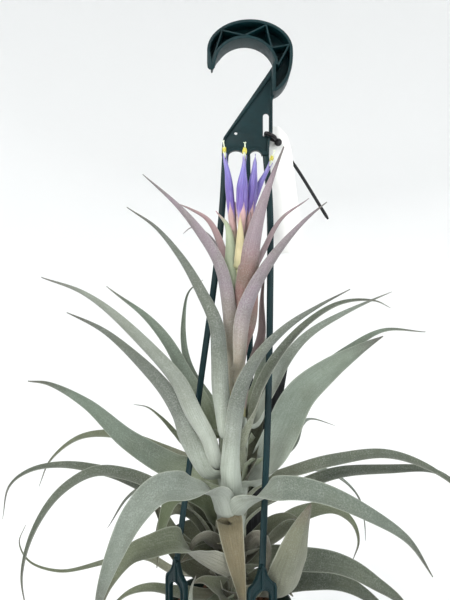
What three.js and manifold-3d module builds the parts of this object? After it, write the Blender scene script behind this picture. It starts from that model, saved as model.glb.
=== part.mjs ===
// An air plant in flower in a hanging pot, held by a moulded three-strand hanger.
// Millimetres, +Z up, +X to the viewer's right, +Y away from the viewer.
// The origin is the seat inside the hanger's hook, where the hanger rests on its support.
import * as THREE from "three";
import { mergeVertices } from "three/addons/utils/BufferGeometryUtils.js";
import Module from "manifold-3d";

const wasm = await Module();
wasm.setup();

// Driving dimensions.
const GAP = 0.3; // clearance between neighbouring pieces
const PLATE_DEPTH = 5; // front to back
const BAND = { front: -12, back: 4, web: 1.2 }; // the hook's band along Y
const HOOK = { x: 1, z: -8.2, across: 29.2, up: 21 }; // half ellipse outside the band
const THROAT = { x: -2.4, z: -20, across: 21, up: 20 }; // half ellipse inside the hook
const RIM_WIDTH = 2; // raised edge round the hook's recess
const RIB_THICKNESS = 1.1;
const RIB_BEARINGS = [172, 134, 90, 66, 38, 12, 6]; // inner edge, outer edge, and so on
const PLATE_FOOT = -77; // height at which the three strands leave the plate
const STRAND = { wide: 4.6, thick: 2.4 };
const EYE = { wide: 20.5, open: 11, thick: 2.4, neck: -346, top: -360, sill: -392, foot: -397 };

const POT_CENTRE = [-13, 0];
const POT_RIM_RADIUS = 44;
const POT_RIM_TOP = -389;
const POT_BASE_RADIUS = 32;
const POT_BASE = -448;
const POT_WALL = 1.5;
const POT_RIM_TALL = 6;
const POT_RIM_STEP = 1.8; // how far the rim stands out from the wall
const POT_LUG = { wide: 8, tall: 2.7, reach: 5.6, lip: 2.2 };
const DRAIN = { count: 4, radius: 3, circle: 14 };
const MEDIUM_TOP = -395;
const SOCKET_CLEARANCE = 0.7; // round the leaning foot of the stem

// Bearings are degrees about +Z from +X, so 270 faces the viewer.
const EYE_BEARINGS = { left: 222, right: 296, middle: 78 };
const EYE_RADIUS = 46.2; // pot centre to the middle of an eye's thickness

const STEM = { foot: -405, top: -144, footX: -13, leanX: 8, leanY: -16, radius: 9, neck: 3.5, head: 5 };
const LOWEST_LEAF = -387;
const LEAF_SPACING = 3.8;
const LOWEST_BRACT = -243;
const BRACT_SPACING = 9;
const BLADE_THICKNESS = 1.8;
const BLADE_STEPS = 12;

const TAG = { wide: 20, long: 90, thick: 0.6, lean: 7, hole: 1.5, front: 5.8 };
const TAG_HOLE = [20.5, -66];
const PIN_RADIUS = 0.9;
const PIN_HEAD_RADIUS = 2.3;
const LABEL = { wide: 15, long: 204, thick: 0.9, point: 16, foot: [-8.5, 20, -412], lean: 9.8, back: 2 };

const LEAF_GREEN = 0x8c9a78;
const LEAF_GREY = 0xa9ae98;
const LEAF_OLIVE = 0x6f7350;
const LEAF_DRY = 0xa08c5c;
const BRACT_LILAC = 0xab9ba0;
const BRACT_DUSKY = 0x6d5458;
const BRACT_CREAM = 0xc9bd8c;
const BRACT_PINK = 0xc08a8e;
const PETAL_VIOLET = 0x7d69be;
const HANGER_GREEN = 0x26423f;
const POT_GREEN = 0x2c3a33;
const MEDIUM_BROWN = 0x3c2c20;
const STEM_GREEN = 0x7d8660;
const CARD_WHITE = 0xe9e8e2;
const PLASTIC_BLACK = 0x17181a;

const UP = new THREE.Vector3(0, 0, 1);
const group = new THREE.Group();

function point([x, y, z]) {
  return new THREE.Vector3(x, y, z);
}

function add(name, geometry, color, roughness) {
  const material = new THREE.MeshStandardMaterial({ color, roughness, metalness: 0 });
  const mesh = new THREE.Mesh(geometry, material);
  mesh.name = name;
  group.add(mesh);
  return mesh;
}

// Solids for joining and cutting.
function toSolid(geometry) {
  const bare = geometry.clone();
  bare.deleteAttribute("normal");
  bare.deleteAttribute("uv");
  const merged = mergeVertices(bare, 1e-4);
  const vertProperties = new Float32Array(merged.attributes.position.array);
  const triVerts = new Uint32Array(merged.index.array);
  return new wasm.Manifold(new wasm.Mesh({ numProp: 3, vertProperties, triVerts }));
}

function toGeometry(solid) {
  const mesh = solid.getMesh();
  const geometry = new THREE.BufferGeometry();
  geometry.setAttribute("position", new THREE.BufferAttribute(mesh.vertProperties, 3));
  geometry.setIndex(new THREE.BufferAttribute(mesh.triVerts, 1));
  return geometry;
}

function join(geometries) {
  return geometries.map(toSolid).reduce((whole, piece) => whole.add(piece));
}

// A flat outline in the X-Z plane, extruded front to back about y = 0.
function slab(shape, depth, curveSegments = 10) {
  const geometry = new THREE.ExtrudeGeometry(shape, { depth, bevelEnabled: false, curveSegments });
  geometry.translate(0, 0, -depth / 2);
  geometry.rotateX(Math.PI / 2);
  return geometry;
}

function outline(points) {
  return new THREE.Shape(points.map(([x, z]) => new THREE.Vector2(x, z)));
}

// A bar of constant section along a path.
function bar(points, section, steps, closed = false) {
  const extrudePath = new THREE.CatmullRomCurve3(points.map(point), closed);
  return new THREE.ExtrudeGeometry(section, { steps, extrudePath, curveSegments: 8 });
}

function circle(radius) {
  return new THREE.Shape().absarc(0, 0, radius, 0, 2 * Math.PI);
}

// A closed body through rings of equal length, each ring counter-clockwise about the path.
function loft(rings, section) {
  const count = section.length;
  const positions = rings.flat().flatMap((corner) => corner.toArray());
  const index = [];
  for (let ring = 0; ring + 1 < rings.length; ring += 1) {
    for (let side = 0; side < count; side += 1) {
      const a = ring * count + side;
      const b = ring * count + ((side + 1) % count);
      index.push(a, b, b + count, a, b + count, a + count);
    }
  }
  const last = (rings.length - 1) * count;
  for (const [a, b, c] of THREE.ShapeUtils.triangulateShape(section, [])) {
    index.push(a, c, b, last + a, last + b, last + c);
  }
  const geometry = new THREE.BufferGeometry();
  geometry.setAttribute("position", new THREE.Float32BufferAttribute(positions, 3));
  geometry.setIndex(index);
  return geometry;
}

// A round body along a curve; level keeps its rings horizontal.
function spindle(curve, steps, sides, radiusAt, level = false) {
  const section = Array.from({ length: sides }, (_, side) => {
    const angle = (2 * Math.PI * side) / sides;
    return new THREE.Vector2(Math.cos(angle), Math.sin(angle));
  });
  const rings = [];
  for (let step = 0; step <= steps; step += 1) {
    const t = step / steps;
    const centre = curve.getPoint(t);
    const along = level ? UP : curve.getTangent(t);
    const side = new THREE.Vector3(0, 1, 0).cross(along).normalize();
    const other = along.clone().cross(side);
    const radius = radiusAt(t);
    rings.push(section.map(({ x, y }) => centre.clone()
      .addScaledVector(side, radius * x)
      .addScaledVector(other, radius * y)));
  }
  return loft(rings, section);
}

// Stem: upright, leaning a little to the right and towards the viewer as it rises.
function stemRise(height) {
  return (height - STEM.foot) / (STEM.top - STEM.foot);
}

function stemCentre(height) {
  const rise = Math.max(0, stemRise(height));
  return point([
    STEM.footX + STEM.leanX * rise ** 1.3,
    STEM.leanY * rise ** 1.6,
    height,
  ]);
}

function stemRadius(height) {
  const rise = stemRise(height);
  const taper = (STEM.radius - STEM.neck) * THREE.MathUtils.smoothstep(rise, 0.45, 0.85);
  const swelling = (STEM.head - STEM.neck) * THREE.MathUtils.smoothstep(rise, 0.93, 0.985);
  return STEM.radius - taper + swelling;
}

class StemCurve extends THREE.Curve {
  getPoint(t) {
    return stemCentre(THREE.MathUtils.lerp(STEM.foot, STEM.top, t));
  }
}

function makeStem() {
  const heightAt = (t) => THREE.MathUtils.lerp(STEM.foot, STEM.top, t);
  return spindle(new StemCurve(), 30, 16, (t) => stemRadius(heightAt(t)), true);
}

// A blade grows from the stem's side at its own height and follows its route to a fine tip.
// Its width narrows at the root, and face turns its upper side towards the viewer.
function makeBlade({ root, width, face, route }) {
  const centre = stemCentre(root);
  const away = point(route[0]).sub(centre).setZ(0).normalize();
  const rise = point(route[0]).sub(centre);
  const steepness = rise.z / rise.length();
  const stand = stemRadius(root) + GAP + BLADE_THICKNESS * (0.1 + 0.5 * Math.abs(steepness));
  const start = centre.clone().addScaledVector(away, stand);
  const curve = new THREE.CatmullRomCurve3([start, ...route.map(point)], false, "centripetal");
  const bearing = curve.getPointAt(0.6).sub(start).setZ(0).normalize();
  const level = UP.clone().cross(bearing).normalize();
  const rootLevel = UP.clone().cross(away).normalize();
  const turn = THREE.MathUtils.degToRad(face) * (bearing.x < 0 ? -1 : 1);
  const rings = [];
  let section;
  for (let step = 0; step <= BLADE_STEPS; step += 1) {
    const t = step / BLADE_STEPS;
    const spread = Math.min(1, 0.34 + t / 0.3);
    const half = 0.5 * width * spread * (1 - 0.95 * t ** 1.25);
    const thick = BLADE_THICKNESS * (1 - 0.72 * t);
    const channel = half * 0.42 * Math.min(1, t / 0.15);
    section = bladeSection(half, thick, channel);
    const along = curve.getTangentAt(t);
    const side = rootLevel.clone().lerp(level, Math.min(1, t / 0.45));
    side.addScaledVector(along, -side.dot(along)).normalize();
    const upper = along.clone().cross(side);
    const angle = turn * THREE.MathUtils.smoothstep(t, 0.1, 0.6);
    const across = side.clone().multiplyScalar(Math.cos(angle)).addScaledVector(upper, Math.sin(angle));
    const facing = along.clone().cross(across);
    const middle = curve.getPointAt(t);
    rings.push(section.map(({ x, y }) => middle.clone()
      .addScaledVector(across, x)
      .addScaledVector(facing, y)));
  }
  return loft(rings, section);
}

// Gutter-shaped section, counter-clockwise: lower side left to right, then back above.
function bladeSection(half, thick, channel) {
  const low = channel * 0.25 - thick / 2;
  return [
    new THREE.Vector2(-half, channel),
    new THREE.Vector2(-half / 2, low),
    new THREE.Vector2(half / 2, low),
    new THREE.Vector2(half, channel),
    new THREE.Vector2(half / 2, low + thick),
    new THREE.Vector2(-half / 2, low + thick),
  ];
}

// Foliage leaves from the lowest to the highest: name, colour, width, face and route.
const LEAVES = [
  ["leaf_bottom_left", LEAF_OLIVE, 13, 20,
    [[-34, -6, -382], [-50, -10, -377], [-66, -12, -374], [-82, -13, -377], [-97, -14, -388]]],
  ["leaf_front_low", LEAF_GREEN, 12, 0,
    [[-22, -18, -380], [-30, -36, -377], [-37, -46, -368], [-37, -47, -358], [-34, -47, -349]]],
  ["leaf_right_near", LEAF_GREEN, 16, 0,
    [[12, -9, -376], [20, -24, -369], [25, -40, -345], [29, -48, -324], [36, -54, -302]]],
  ["leaf_right_lowest", LEAF_GREEN, 15, 40,
    [[18, 8, -380], [41, 2, -374], [64, -6, -374], [88, -12, -385], [104, -16, -399]]],
  ["leaf_left_wave", LEAF_OLIVE, 8, 10,
    [[-34, 10, -374], [-54, 18, -376], [-72, 24, -369], [-88, 28, -369], [-106, 34, -376],
     [-143, 40, -388], [-167, 42, -381], [-175, 42, -365], [-170, 42, -351]]],
  ["leaf_right_low", LEAF_GREEN, 16, 50,
    [[13, -4, -357], [35, -12, -354], [54, -20, -352], [67, -25, -355], [81, -30, -362],
     [96, -33, -371], [108, -35, -386]]],
  ["leaf_left_low", LEAF_OLIVE, 16, 30,
    [[-16, -20, -356], [-33, -34, -341], [-47, -45, -328], [-60, -50, -328], [-73, -52, -332],
     [-85, -55, -349], [-92, -56, -368]]],
  ["leaf_right_hook", LEAF_OLIVE, 12, 0,
    [[11, 12, -352], [40, 24, -337], [65, 32, -335], [81, 36, -348], [86, 38, -364], [82, 38, -377]]],
  ["leaf_left_loop", LEAF_GREEN, 8, 15,
    [[-34, 4, -329], [-59, 7, -314], [-85, 4, -301], [-107, 0, -298], [-130, -4, -312],
     [-148, -8, -339], [-155, -10, -366], [-152, -10, -390]]],
  ["leaf_dry", LEAF_DRY, 16, 0,
    [[-13, -19, -326], [-12, -27, -330], [-10, -31, -341], [-7, -34, -356], [-5, -36, -370],
     [-6, -38, -384]]],
  ["leaf_left_arch", LEAF_GREEN, 10, 20,
    [[-34, 16, -334], [-73, 21, -318], [-101, 24, -306], [-134, 26, -300], [-162, 28, -306],
     [-178, 28, -319], [-183, 28, -343]]],
  ["leaf_left_inner", LEAF_GREEN, 11, 0,
    [[-26, -3, -320], [-40, -6, -310], [-51, -12, -313], [-57, -17, -327], [-60, -20, -343],
     [-61, -22, -354]]],
  ["leaf_right_sweep", LEAF_GREEN, 11, 20,
    [[10, 10, -325], [38, 16, -314], [71, 20, -304], [107, 24, -303], [138, 26, -306], [160, 28, -319],
     [172, 30, -337]]],
  ["leaf_back_low", LEAF_OLIVE, 14, 0,
    [[-14, 20, -338], [-12, 48, -325], [-8, 84, -332], [-4, 118, -366]]],
  ["leaf_front_left", LEAF_GREY, 17, 35,
    [[-22, -24, -304], [-36, -40, -296], [-55, -56, -293], [-68, -66, -304], [-78, -72, -322],
     [-86, -74, -343], [-91, -74, -366]]],
  ["leaf_front_right", LEAF_OLIVE, 17, 50,
    [[-3, -25, -311], [10, -41, -299], [24, -50, -294], [47, -58, -295], [70, -64, -304],
     [90, -67, -318], [105, -68, -340]]],
  ["leaf_back_left_low", LEAF_GREEN, 12, 0,
    [[-33, 20, -325], [-66, 40, -318], [-93, 52, -334], [-110, 58, -360]]],
  ["leaf_right_arch", LEAF_GREEN, 9, 15,
    [[7, 0, -307], [34, 4, -299], [62, 8, -292], [97, 10, -289], [130, 12, -299], [152, 12, -313],
     [166, 14, -330]]],
  ["leaf_left_wide", LEAF_GREEN, 21, 70,
    [[-30, 10, -305], [-56, 7, -295], [-82, -4, -276], [-108, -14, -248], [-132, -22, -234],
     [-145, -26, -232]]],
  ["leaf_back_right_droop", LEAF_GREEN, 9, 0,
    [[10, 10, -308], [32, 15, -302], [50, 28, -304], [72, 38, -315], [88, 44, -331], [93, 46, -350],
     [94, 47, -366]]],
  ["leaf_right_wide", LEAF_GREEN, 18, 55,
    [[8, -4, -299], [22, -4, -273], [37, 0, -245], [58, 4, -226], [77, 8, -215], [98, 12, -205]]],
  ["leaf_back_left_arch", LEAF_OLIVE, 8, 0,
    [[-26, 25, -303], [-67, 46, -290], [-108, 60, -286], [-136, 66, -290], [-160, 70, -310],
     [-170, 72, -333]]],
  ["leaf_front_up", LEAF_GREY, 14, 40,
    [[-12, -26, -289], [-10, -32, -262], [-6, -36, -237], [4, -37, -217], [24, -34, -195],
     [45, -30, -181], [66, -26, -171]]],
  ["leaf_left_middle", LEAF_GREEN, 17, 60,
    [[-29, -14, -294], [-40, -21, -273], [-46, -24, -254], [-63, -25, -228], [-92, -25, -201],
     [-120, -24, -187]]],
  ["leaf_right_long", LEAF_GREEN, 9, 10,
    [[10, 8, -289], [31, 14, -254], [53, 18, -231], [76, 22, -215], [103, 26, -201], [134, 28, -201]]],
  ["leaf_back_left_hook", LEAF_OLIVE, 7, 0,
    [[-27, 18, -290], [-46, 28, -287], [-54, 31, -279], [-65, 33, -266], [-75, 36, -259],
     [-86, 38, -258]]],
  ["leaf_left_high", LEAF_GREY, 15, 50,
    [[-22, -16, -288], [-28, -24, -270], [-37, -29, -252], [-48, -32, -228], [-75, -38, -198],
     [-106, -40, -174], [-132, -40, -163]]],
  ["leaf_right_bend", LEAF_OLIVE, 11, 30,
    [[-4, -18, -272], [2, -24, -252], [8, -27, -233], [22, -26, -209], [38, -23, -193], [61, -18, -181],
     [86, -13, -179], [97, -10, -183]]],
  ["leaf_back_inner", LEAF_GREEN, 13, 0,
    [[-15, 16, -282], [-18, 40, -270], [-20, 72, -274], [-22, 106, -298]]],
  ["leaf_back_middle", LEAF_GREEN, 9, 0,
    [[5, 13, -296], [20, 15, -293], [33, 19, -286], [43, 44, -275], [56, 70, -275], [77, 84, -285]]],
  ["leaf_left_high_back", LEAF_GREEN, 13, 45,
    [[-23, 4, -272], [-32, 9, -253], [-43, 13, -235], [-57, 17, -211], [-76, 20, -189],
     [-104, 24, -167]]],
  ["leaf_right_high", LEAF_GREY, 11, 35,
    [[6, -4, -263], [14, -3, -245], [28, 0, -219], [45, 3, -201], [68, 7, -187], [104, 12, -173]]],
  ["leaf_back_left_curl", LEAF_GREEN, 13, 20,
    [[-20, 19, -262], [-30, 28, -250], [-40, 32, -235], [-47, 37, -215], [-48, 40, -193],
     [-44, 42, -172], [-33, 42, -162]]],
  ["leaf_left_top", LEAF_GREY, 15, 20,
    [[-15, -24, -267], [-19, -28, -240], [-20, -29, -215], [-22, -28, -194], [-32, -26, -173],
     [-46, -22, -149], [-63, -18, -128], [-82, -15, -115]]],
  ["leaf_back_top", LEAF_GREEN, 11, 0,
    [[4.5, 6, -245], [10.5, 16, -228], [13, 44, -208], [15, 100, -204]]],
  ["leaf_back_high", LEAF_GREEN, 11, 0,
    [[-12, 4, -241], [-14, 22, -222], [-16, 50, -212], [-18, 92, -216]]],
];

// Bracts up the flower stalk, from the lowest to the highest.
const BRACTS = [
  ["bract_back_dusky", BRACT_DUSKY, 9, 0,
    [[0, -4, -225], [7, -2, -202], [10, -1, -178], [12, -2, -155]]],
  ["bract_right", BRACT_LILAC, 14, 30,
    [[-6, -24, -218], [-4, -30, -190], [3, -31, -170], [15, -29, -150], [34, -23, -129],
     [52, -18, -113]]],
  ["bract_left", BRACT_LILAC, 12, 25,
    [[-14, -17, -208], [-14, -21, -185], [-19, -23, -158], [-31, -21, -136], [-48, -17, -114],
     [-72, -12, -93]]],
  ["bract_front", BRACT_LILAC, 15, 0,
    [[-3, -18, -198], [-2, -21, -178], [0, -26, -153], [3, -28, -136], [9, -27, -113], [16, -24, -94],
     [23, -21, -77]]],
  ["bract_right_inner", BRACT_LILAC, 9, 10,
    [[4, -10, -163], [11, -14, -144], [23, -14, -123], [41, -11, -108]]],
  ["bract_left_curl", BRACT_LILAC, 6, 0,
    [[-13, -4, -166], [-20, -9, -142], [-29, -10, -132], [-39, -7, -129], [-45, -6, -133]]],
  ["bract_left_inner", BRACT_PINK, 7, 20,
    [[-14, -11, -168], [-18, -12, -146], [-28, -12, -124], [-40, -11, -115], [-49, -9, -111]]],
  ["floral_bract_left", BRACT_PINK, 9, 0,
    [[-12, -19, -160], [-12.5, -22, -142], [-15, -21.5, -128], [-22, -20, -118]]],
  ["floral_bract_right", BRACT_PINK, 6, 0,
    [[0, -19.5, -155], [1, -20.5, -138], [1, -20.5, -120]]],
  ["floral_bract_front", BRACT_CREAM, 6, 0,
    [[-6, -23, -154], [-6, -25.5, -138], [-6, -25, -120]]],
];

// Flowers: a slim tube from the stalk's head that swells, narrows at the mouth and ends in anthers.
const FLOWERS = [
  ["flower_left",
    [[-8.6, -16.4, -143.4], [-11, -16.5, -125], [-14, -19, -95], [-16, -20, -84], [-17, -20, -73]]],
  ["flower_middle",
    [[-5, -19.4, -143.4], [-4.7, -20, -125], [-4.5, -22, -102], [-3.2, -23, -84], [-2.8, -23, -75]]],
  ["flower_right",
    [[-1.6, -16, -143.4], [0, -16, -125], [3, -17, -97], [4, -17, -86], [4.4, -17, -80]]],
  ["flower_far_right",
    [[-4.6, -12.4, -143.4], [-1, -11.5, -125], [7, -11, -101], [14, -11, -87], [17.5, -11, -77]]],
];
const FLOWER_BODY_RADIUS = 3.2;

function flowerRadius(t) {
  const body = FLOWER_BODY_RADIUS * Math.sin(Math.PI * Math.min(1, 0.12 + t * 0.95)) ** 0.8;
  return Math.max(t > 0.7 ? 1.1 : 1.4, body * (t < 0.35 ? 0.75 : 1));
}

function makeFlower(points) {
  const curve = new THREE.CatmullRomCurve3(points.map(point), false, "centripetal");
  return spindle(curve, 12, 8, flowerRadius);
}

// Hook and plate: one flat moulding, seen from the front.
function bandShape() {
  const { x, z, across, up } = THROAT;
  const shape = new THREE.Shape();
  shape.moveTo(-27, -16.2);
  shape.lineTo(HOOK.x - HOOK.across, -14.6);
  shape.lineTo(HOOK.x - HOOK.across, HOOK.z);
  shape.absellipse(HOOK.x, HOOK.z, HOOK.across, HOOK.up, Math.PI, 0, true, 0);
  shape.quadraticCurveTo(30.6, -20, 27, -27);
  shape.quadraticCurveTo(24, -33.5, 18.6, -36);
  shape.lineTo(16.2, -36);
  shape.lineTo(16.2, -18);
  shape.lineTo(x + across * 0.97, z + up * 0.24);
  shape.absellipse(x, z, across, up, 0.25, Math.PI * 0.93, false, 0);
  return shape;
}

function plateShape() {
  const shape = new THREE.Shape();
  shape.moveTo(17.2, -14.8);
  shape.lineTo(18.6, -36);
  shape.quadraticCurveTo(17.2, -37.4, 17.2, -40);
  shape.lineTo(17.2, -61.6);
  shape.quadraticCurveTo(14.7, -66, 14.7, PLATE_FOOT);
  shape.lineTo(10.5, PLATE_FOOT);
  shape.absellipse(5.5, PLATE_FOOT, 4, 3.4, 0, Math.PI, false, 0);
  shape.lineTo(-2.7, PLATE_FOOT);
  shape.absellipse(-8.2, PLATE_FOOT, 5.2, 3.4, 0, Math.PI, false, 0);
  shape.lineTo(-18.3, PLATE_FOOT);
  shape.quadraticCurveTo(-18.2, -68, -16.8, -64.4);
  shape.lineTo(14.5, -19);
  return shape;
}

function plateSlot() {
  const slot = new THREE.Path();
  slot.moveTo(10.5, -63.7);
  slot.lineTo(14.7, -63.7);
  slot.lineTo(14.7, -49.7);
  slot.absarc(12.6, -49.7, 2.1, 0, Math.PI, false);
  slot.lineTo(10.5, -63.7);
  return slot;
}

// The band's recess, in front of and behind its web, with the zigzag ribs left standing.
function recess(depth) {
  const { x, z, across, up } = THROAT;
  const shape = new THREE.Shape();
  const inset = RIM_WIDTH;
  shape.absellipse(HOOK.x, HOOK.z, HOOK.across - inset, HOOK.up - inset, Math.PI * 0.99, 0, true, 0);
  shape.quadraticCurveTo(28.4, -19.6, 25.2, -26);
  shape.quadraticCurveTo(22.8, -31, 18.6, -33.4);
  shape.lineTo(18.6, -18);
  shape.absellipse(x, z, across + inset, up + inset, 0.1, Math.PI * 0.92, false, 0);
  let pocket = toSolid(slab(shape, depth, 24));
  for (let rib = 0; rib < RIB_BEARINGS.length - 1; rib += 1) {
    const here = hookEdge(rib);
    const next = hookEdge(rib + 1);
    const length = here.distanceTo(next) + 3;
    const box = new THREE.BoxGeometry(length, 2 * depth, RIB_THICKNESS);
    box.rotateY(-Math.atan2(next.y - here.y, next.x - here.x));
    box.translate((here.x + next.x) / 2, 0, (here.y + next.y) / 2);
    pocket = pocket.subtract(toSolid(box));
  }
  return pocket;
}

function hookEdge(step) {
  const angle = THREE.MathUtils.degToRad(RIB_BEARINGS[step]);
  const { x, z, across, up } = step % 2 ? HOOK : THROAT;
  const inset = step % 2 ? -RIM_WIDTH : RIM_WIDTH;
  return new THREE.Vector2(x + (across + inset) * Math.cos(angle), z + (up + inset) * Math.sin(angle));
}

function makeHook() {
  const plate = plateShape();
  plate.holes.push(plateSlot());
  plate.holes.push(new THREE.Path().absarc(-8.4, -61.6, 1.1, 0, 2 * Math.PI, false));
  const { front, back, web } = BAND;
  const band = toSolid(slab(bandShape(), back - front, 24)).translate([0, (front + back) / 2, 0]);
  const before = -web - front;
  const behind = back - web;
  const pockets = recess(before).translate([0, front + before / 2 - 0.001, 0])
    .add(recess(behind).translate([0, back - behind / 2 + 0.001, 0]));
  return toGeometry(band.subtract(pockets).add(toSolid(slab(plate, PLATE_DEPTH, 12))));
}

// An eye is a flat loop on the end of a strand, upright against the pot's rim.
function eyeGeometry(bearing) {
  const { wide, open, thick, neck, top, sill, foot } = EYE;
  const half = wide / 2;
  const shape = new THREE.Shape();
  shape.moveTo(-STRAND.wide / 2, neck);
  shape.quadraticCurveTo(-3, neck - 7, -half + 1, top + 3);
  shape.quadraticCurveTo(-half, top + 1, -half, top - 2);
  shape.lineTo(-half, foot + 4);
  shape.quadraticCurveTo(-half, foot, -half + 5, foot);
  shape.lineTo(half - 5, foot);
  shape.quadraticCurveTo(half, foot, half, foot + 4);
  shape.lineTo(half, top - 2);
  shape.quadraticCurveTo(half, top + 1, half - 1, top + 3);
  shape.quadraticCurveTo(3, neck - 7, STRAND.wide / 2, neck);
  const hole = new THREE.Path();
  hole.moveTo(-open / 2, sill);
  hole.lineTo(-open / 2, top - 5);
  hole.absellipse(0, top - 5, open / 2, 5, Math.PI, 0, true, 0);
  hole.lineTo(open / 2, sill);
  shape.holes.push(hole);
  const geometry = slab(shape, thick, 6);
  geometry.rotateZ(THREE.MathUtils.degToRad(bearing + 90));
  const [x, y] = aroundPot(bearing, EYE_RADIUS);
  geometry.translate(x, y, 0);
  return geometry;
}

function aroundPot(bearing, radius) {
  const angle = THREE.MathUtils.degToRad(bearing);
  return [POT_CENTRE[0] + radius * Math.cos(angle), POT_CENTRE[1] + radius * Math.sin(angle)];
}

// A strand runs from the plate's foot to its eye, bowed a little round the plant.
const STRAND_ROUTES = {
  left: [[-15.8, 0, PLATE_FOOT - GAP], [-18.2, -1, -117], [-23, -4, -163], [-31.8, -6, -227],
    [-36.4, -6, -262], [-39.3, -8, -283], [-41.8, -15, -304], [-44.2, -23, -323]],
  middle: [[-0.6, 0, PLATE_FOOT - GAP], [1, 7, -145], [2, 15, -212], [2, 25, -289]],
  right: [[12.6, 0, PLATE_FOOT - GAP], [15, -4, -111], [14.5, -12, -185], [12.2, -19, -267],
    [10.3, -24, -303], [9.2, -30, -323]],
};

function makeStrand(side) {
  const bearing = EYE_BEARINGS[side];
  const [x, y] = aroundPot(bearing, EYE_RADIUS);
  const route = [...STRAND_ROUTES[side], [x, y, EYE.neck - 1]];
  const curve = new THREE.CatmullRomCurve3(route.map(point), false, "centripetal");
  const section = [[-1, -1], [1, -1], [1, 1], [-1, 1]].map(([u, v]) => (
    new THREE.Vector2((u * STRAND.wide) / 2, (v * STRAND.thick) / 2)));
  const turn = THREE.MathUtils.degToRad(((bearing + 90 + 540) % 360) - 180);
  const settled = Math.abs(turn) > Math.PI / 2 ? turn - Math.sign(turn) * Math.PI : turn;
  const rings = [];
  const steps = 14;
  for (let step = 0; step <= steps; step += 1) {
    const t = step / steps;
    const angle = settled * t;
    const across = new THREE.Vector3(Math.cos(angle), Math.sin(angle), 0);
    const through = new THREE.Vector3(-Math.sin(angle), Math.cos(angle), 0);
    const middle = curve.getPoint(t);
    rings.push(section.map(({ x: u, y: v }) => middle.clone()
      .addScaledVector(across, u)
      .addScaledVector(through, v)).reverse());
  }
  return toGeometry(join([loft(rings, section), eyeGeometry(bearing)]));
}

// Pot: a plain tapered cup with a rolled rim, three lugs for the eyes and drain holes.
function lathe(profile, segments) {
  const points = profile.map(([r, z]) => new THREE.Vector2(r, z));
  const geometry = new THREE.LatheGeometry(points, segments);
  geometry.rotateX(Math.PI / 2);
  geometry.translate(POT_CENTRE[0], POT_CENTRE[1], 0);
  return geometry;
}

function makePot() {
  const rim = POT_RIM_RADIUS;
  const under = POT_RIM_TOP - POT_RIM_TALL;
  let pot = toSolid(lathe([
    [0, POT_BASE], [POT_BASE_RADIUS, POT_BASE], [rim - POT_RIM_STEP, under], [rim, under],
    [rim, POT_RIM_TOP], [rim - POT_WALL - 0.4, POT_RIM_TOP], [rim - POT_RIM_STEP - POT_WALL, under],
    [POT_BASE_RADIUS - POT_WALL, POT_BASE + POT_WALL], [0, POT_BASE + POT_WALL],
  ], 36));
  for (const bearing of Object.values(EYE_BEARINGS)) {
    pot = pot.add(join(lugGeometries(bearing)));
  }
  for (let hole = 0; hole < DRAIN.count; hole += 1) {
    const [x, y] = aroundPot(45 + (360 * hole) / DRAIN.count, DRAIN.circle);
    const plug = new THREE.CylinderGeometry(DRAIN.radius, DRAIN.radius, 6, 12);
    plug.rotateX(Math.PI / 2);
    plug.translate(x, y, POT_BASE);
    pot = pot.subtract(toSolid(plug));
  }
  return toGeometry(pot);
}

// A lug passes through its eye, rests on the eye's sill and ends in an upturned lip.
function lugGeometries(bearing) {
  const inner = POT_RIM_RADIUS - 1;
  const outer = POT_RIM_RADIUS + POT_LUG.reach;
  const floor = EYE.sill + GAP;
  const peg = new THREE.BoxGeometry(outer - inner, POT_LUG.wide, POT_LUG.tall);
  peg.translate((outer + inner) / 2, 0, floor + POT_LUG.tall / 2);
  const lip = new THREE.BoxGeometry(1.4, POT_LUG.wide, POT_LUG.tall + POT_LUG.lip);
  lip.translate(outer - 0.7, 0, floor + (POT_LUG.tall + POT_LUG.lip) / 2);
  return [peg, lip].map((geometry) => {
    geometry.rotateZ(THREE.MathUtils.degToRad(bearing));
    geometry.translate(POT_CENTRE[0], POT_CENTRE[1], 0);
    return geometry;
  });
}

// Growing medium: fills the pot to just below its rim, round the stem's foot and the label.
function makeMedium() {
  const clear = POT_WALL + GAP;
  const medium = toSolid(lathe([
    [0, POT_BASE + clear], [POT_BASE_RADIUS - clear, POT_BASE + clear],
    [POT_RIM_RADIUS - 1.9 - clear, MEDIUM_TOP - 1], [POT_RIM_RADIUS - 8, MEDIUM_TOP], [0, MEDIUM_TOP + 1.5],
  ], 36));
  const depth = MEDIUM_TOP - STEM.foot + 4;
  const radius = STEM.radius + SOCKET_CLEARANCE;
  const socket = new THREE.CylinderGeometry(radius, radius, depth, 24);
  socket.rotateX(Math.PI / 2);
  socket.translate(STEM.footX, 0, STEM.foot - GAP + depth / 2);
  const pocket = labelGeometry(2 * GAP);
  return toGeometry(medium.subtract(toSolid(socket)).subtract(toSolid(pocket)));
}

// Plant label: a long strip with a pointed foot, pushed into the medium behind the plant.
function labelGeometry(extra = 0) {
  const half = (LABEL.wide + extra) / 2;
  const shape = outline([
    [0, -extra], [half, LABEL.point], [half, LABEL.long - 2], [half - 2, LABEL.long],
    [2 - half, LABEL.long], [-half, LABEL.long - 2], [-half, LABEL.point],
  ]);
  const geometry = slab(shape, LABEL.thick + extra);
  geometry.rotateX(-THREE.MathUtils.degToRad(LABEL.back));
  geometry.rotateY(THREE.MathUtils.degToRad(LABEL.lean));
  geometry.translate(...LABEL.foot);
  return geometry;
}

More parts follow.
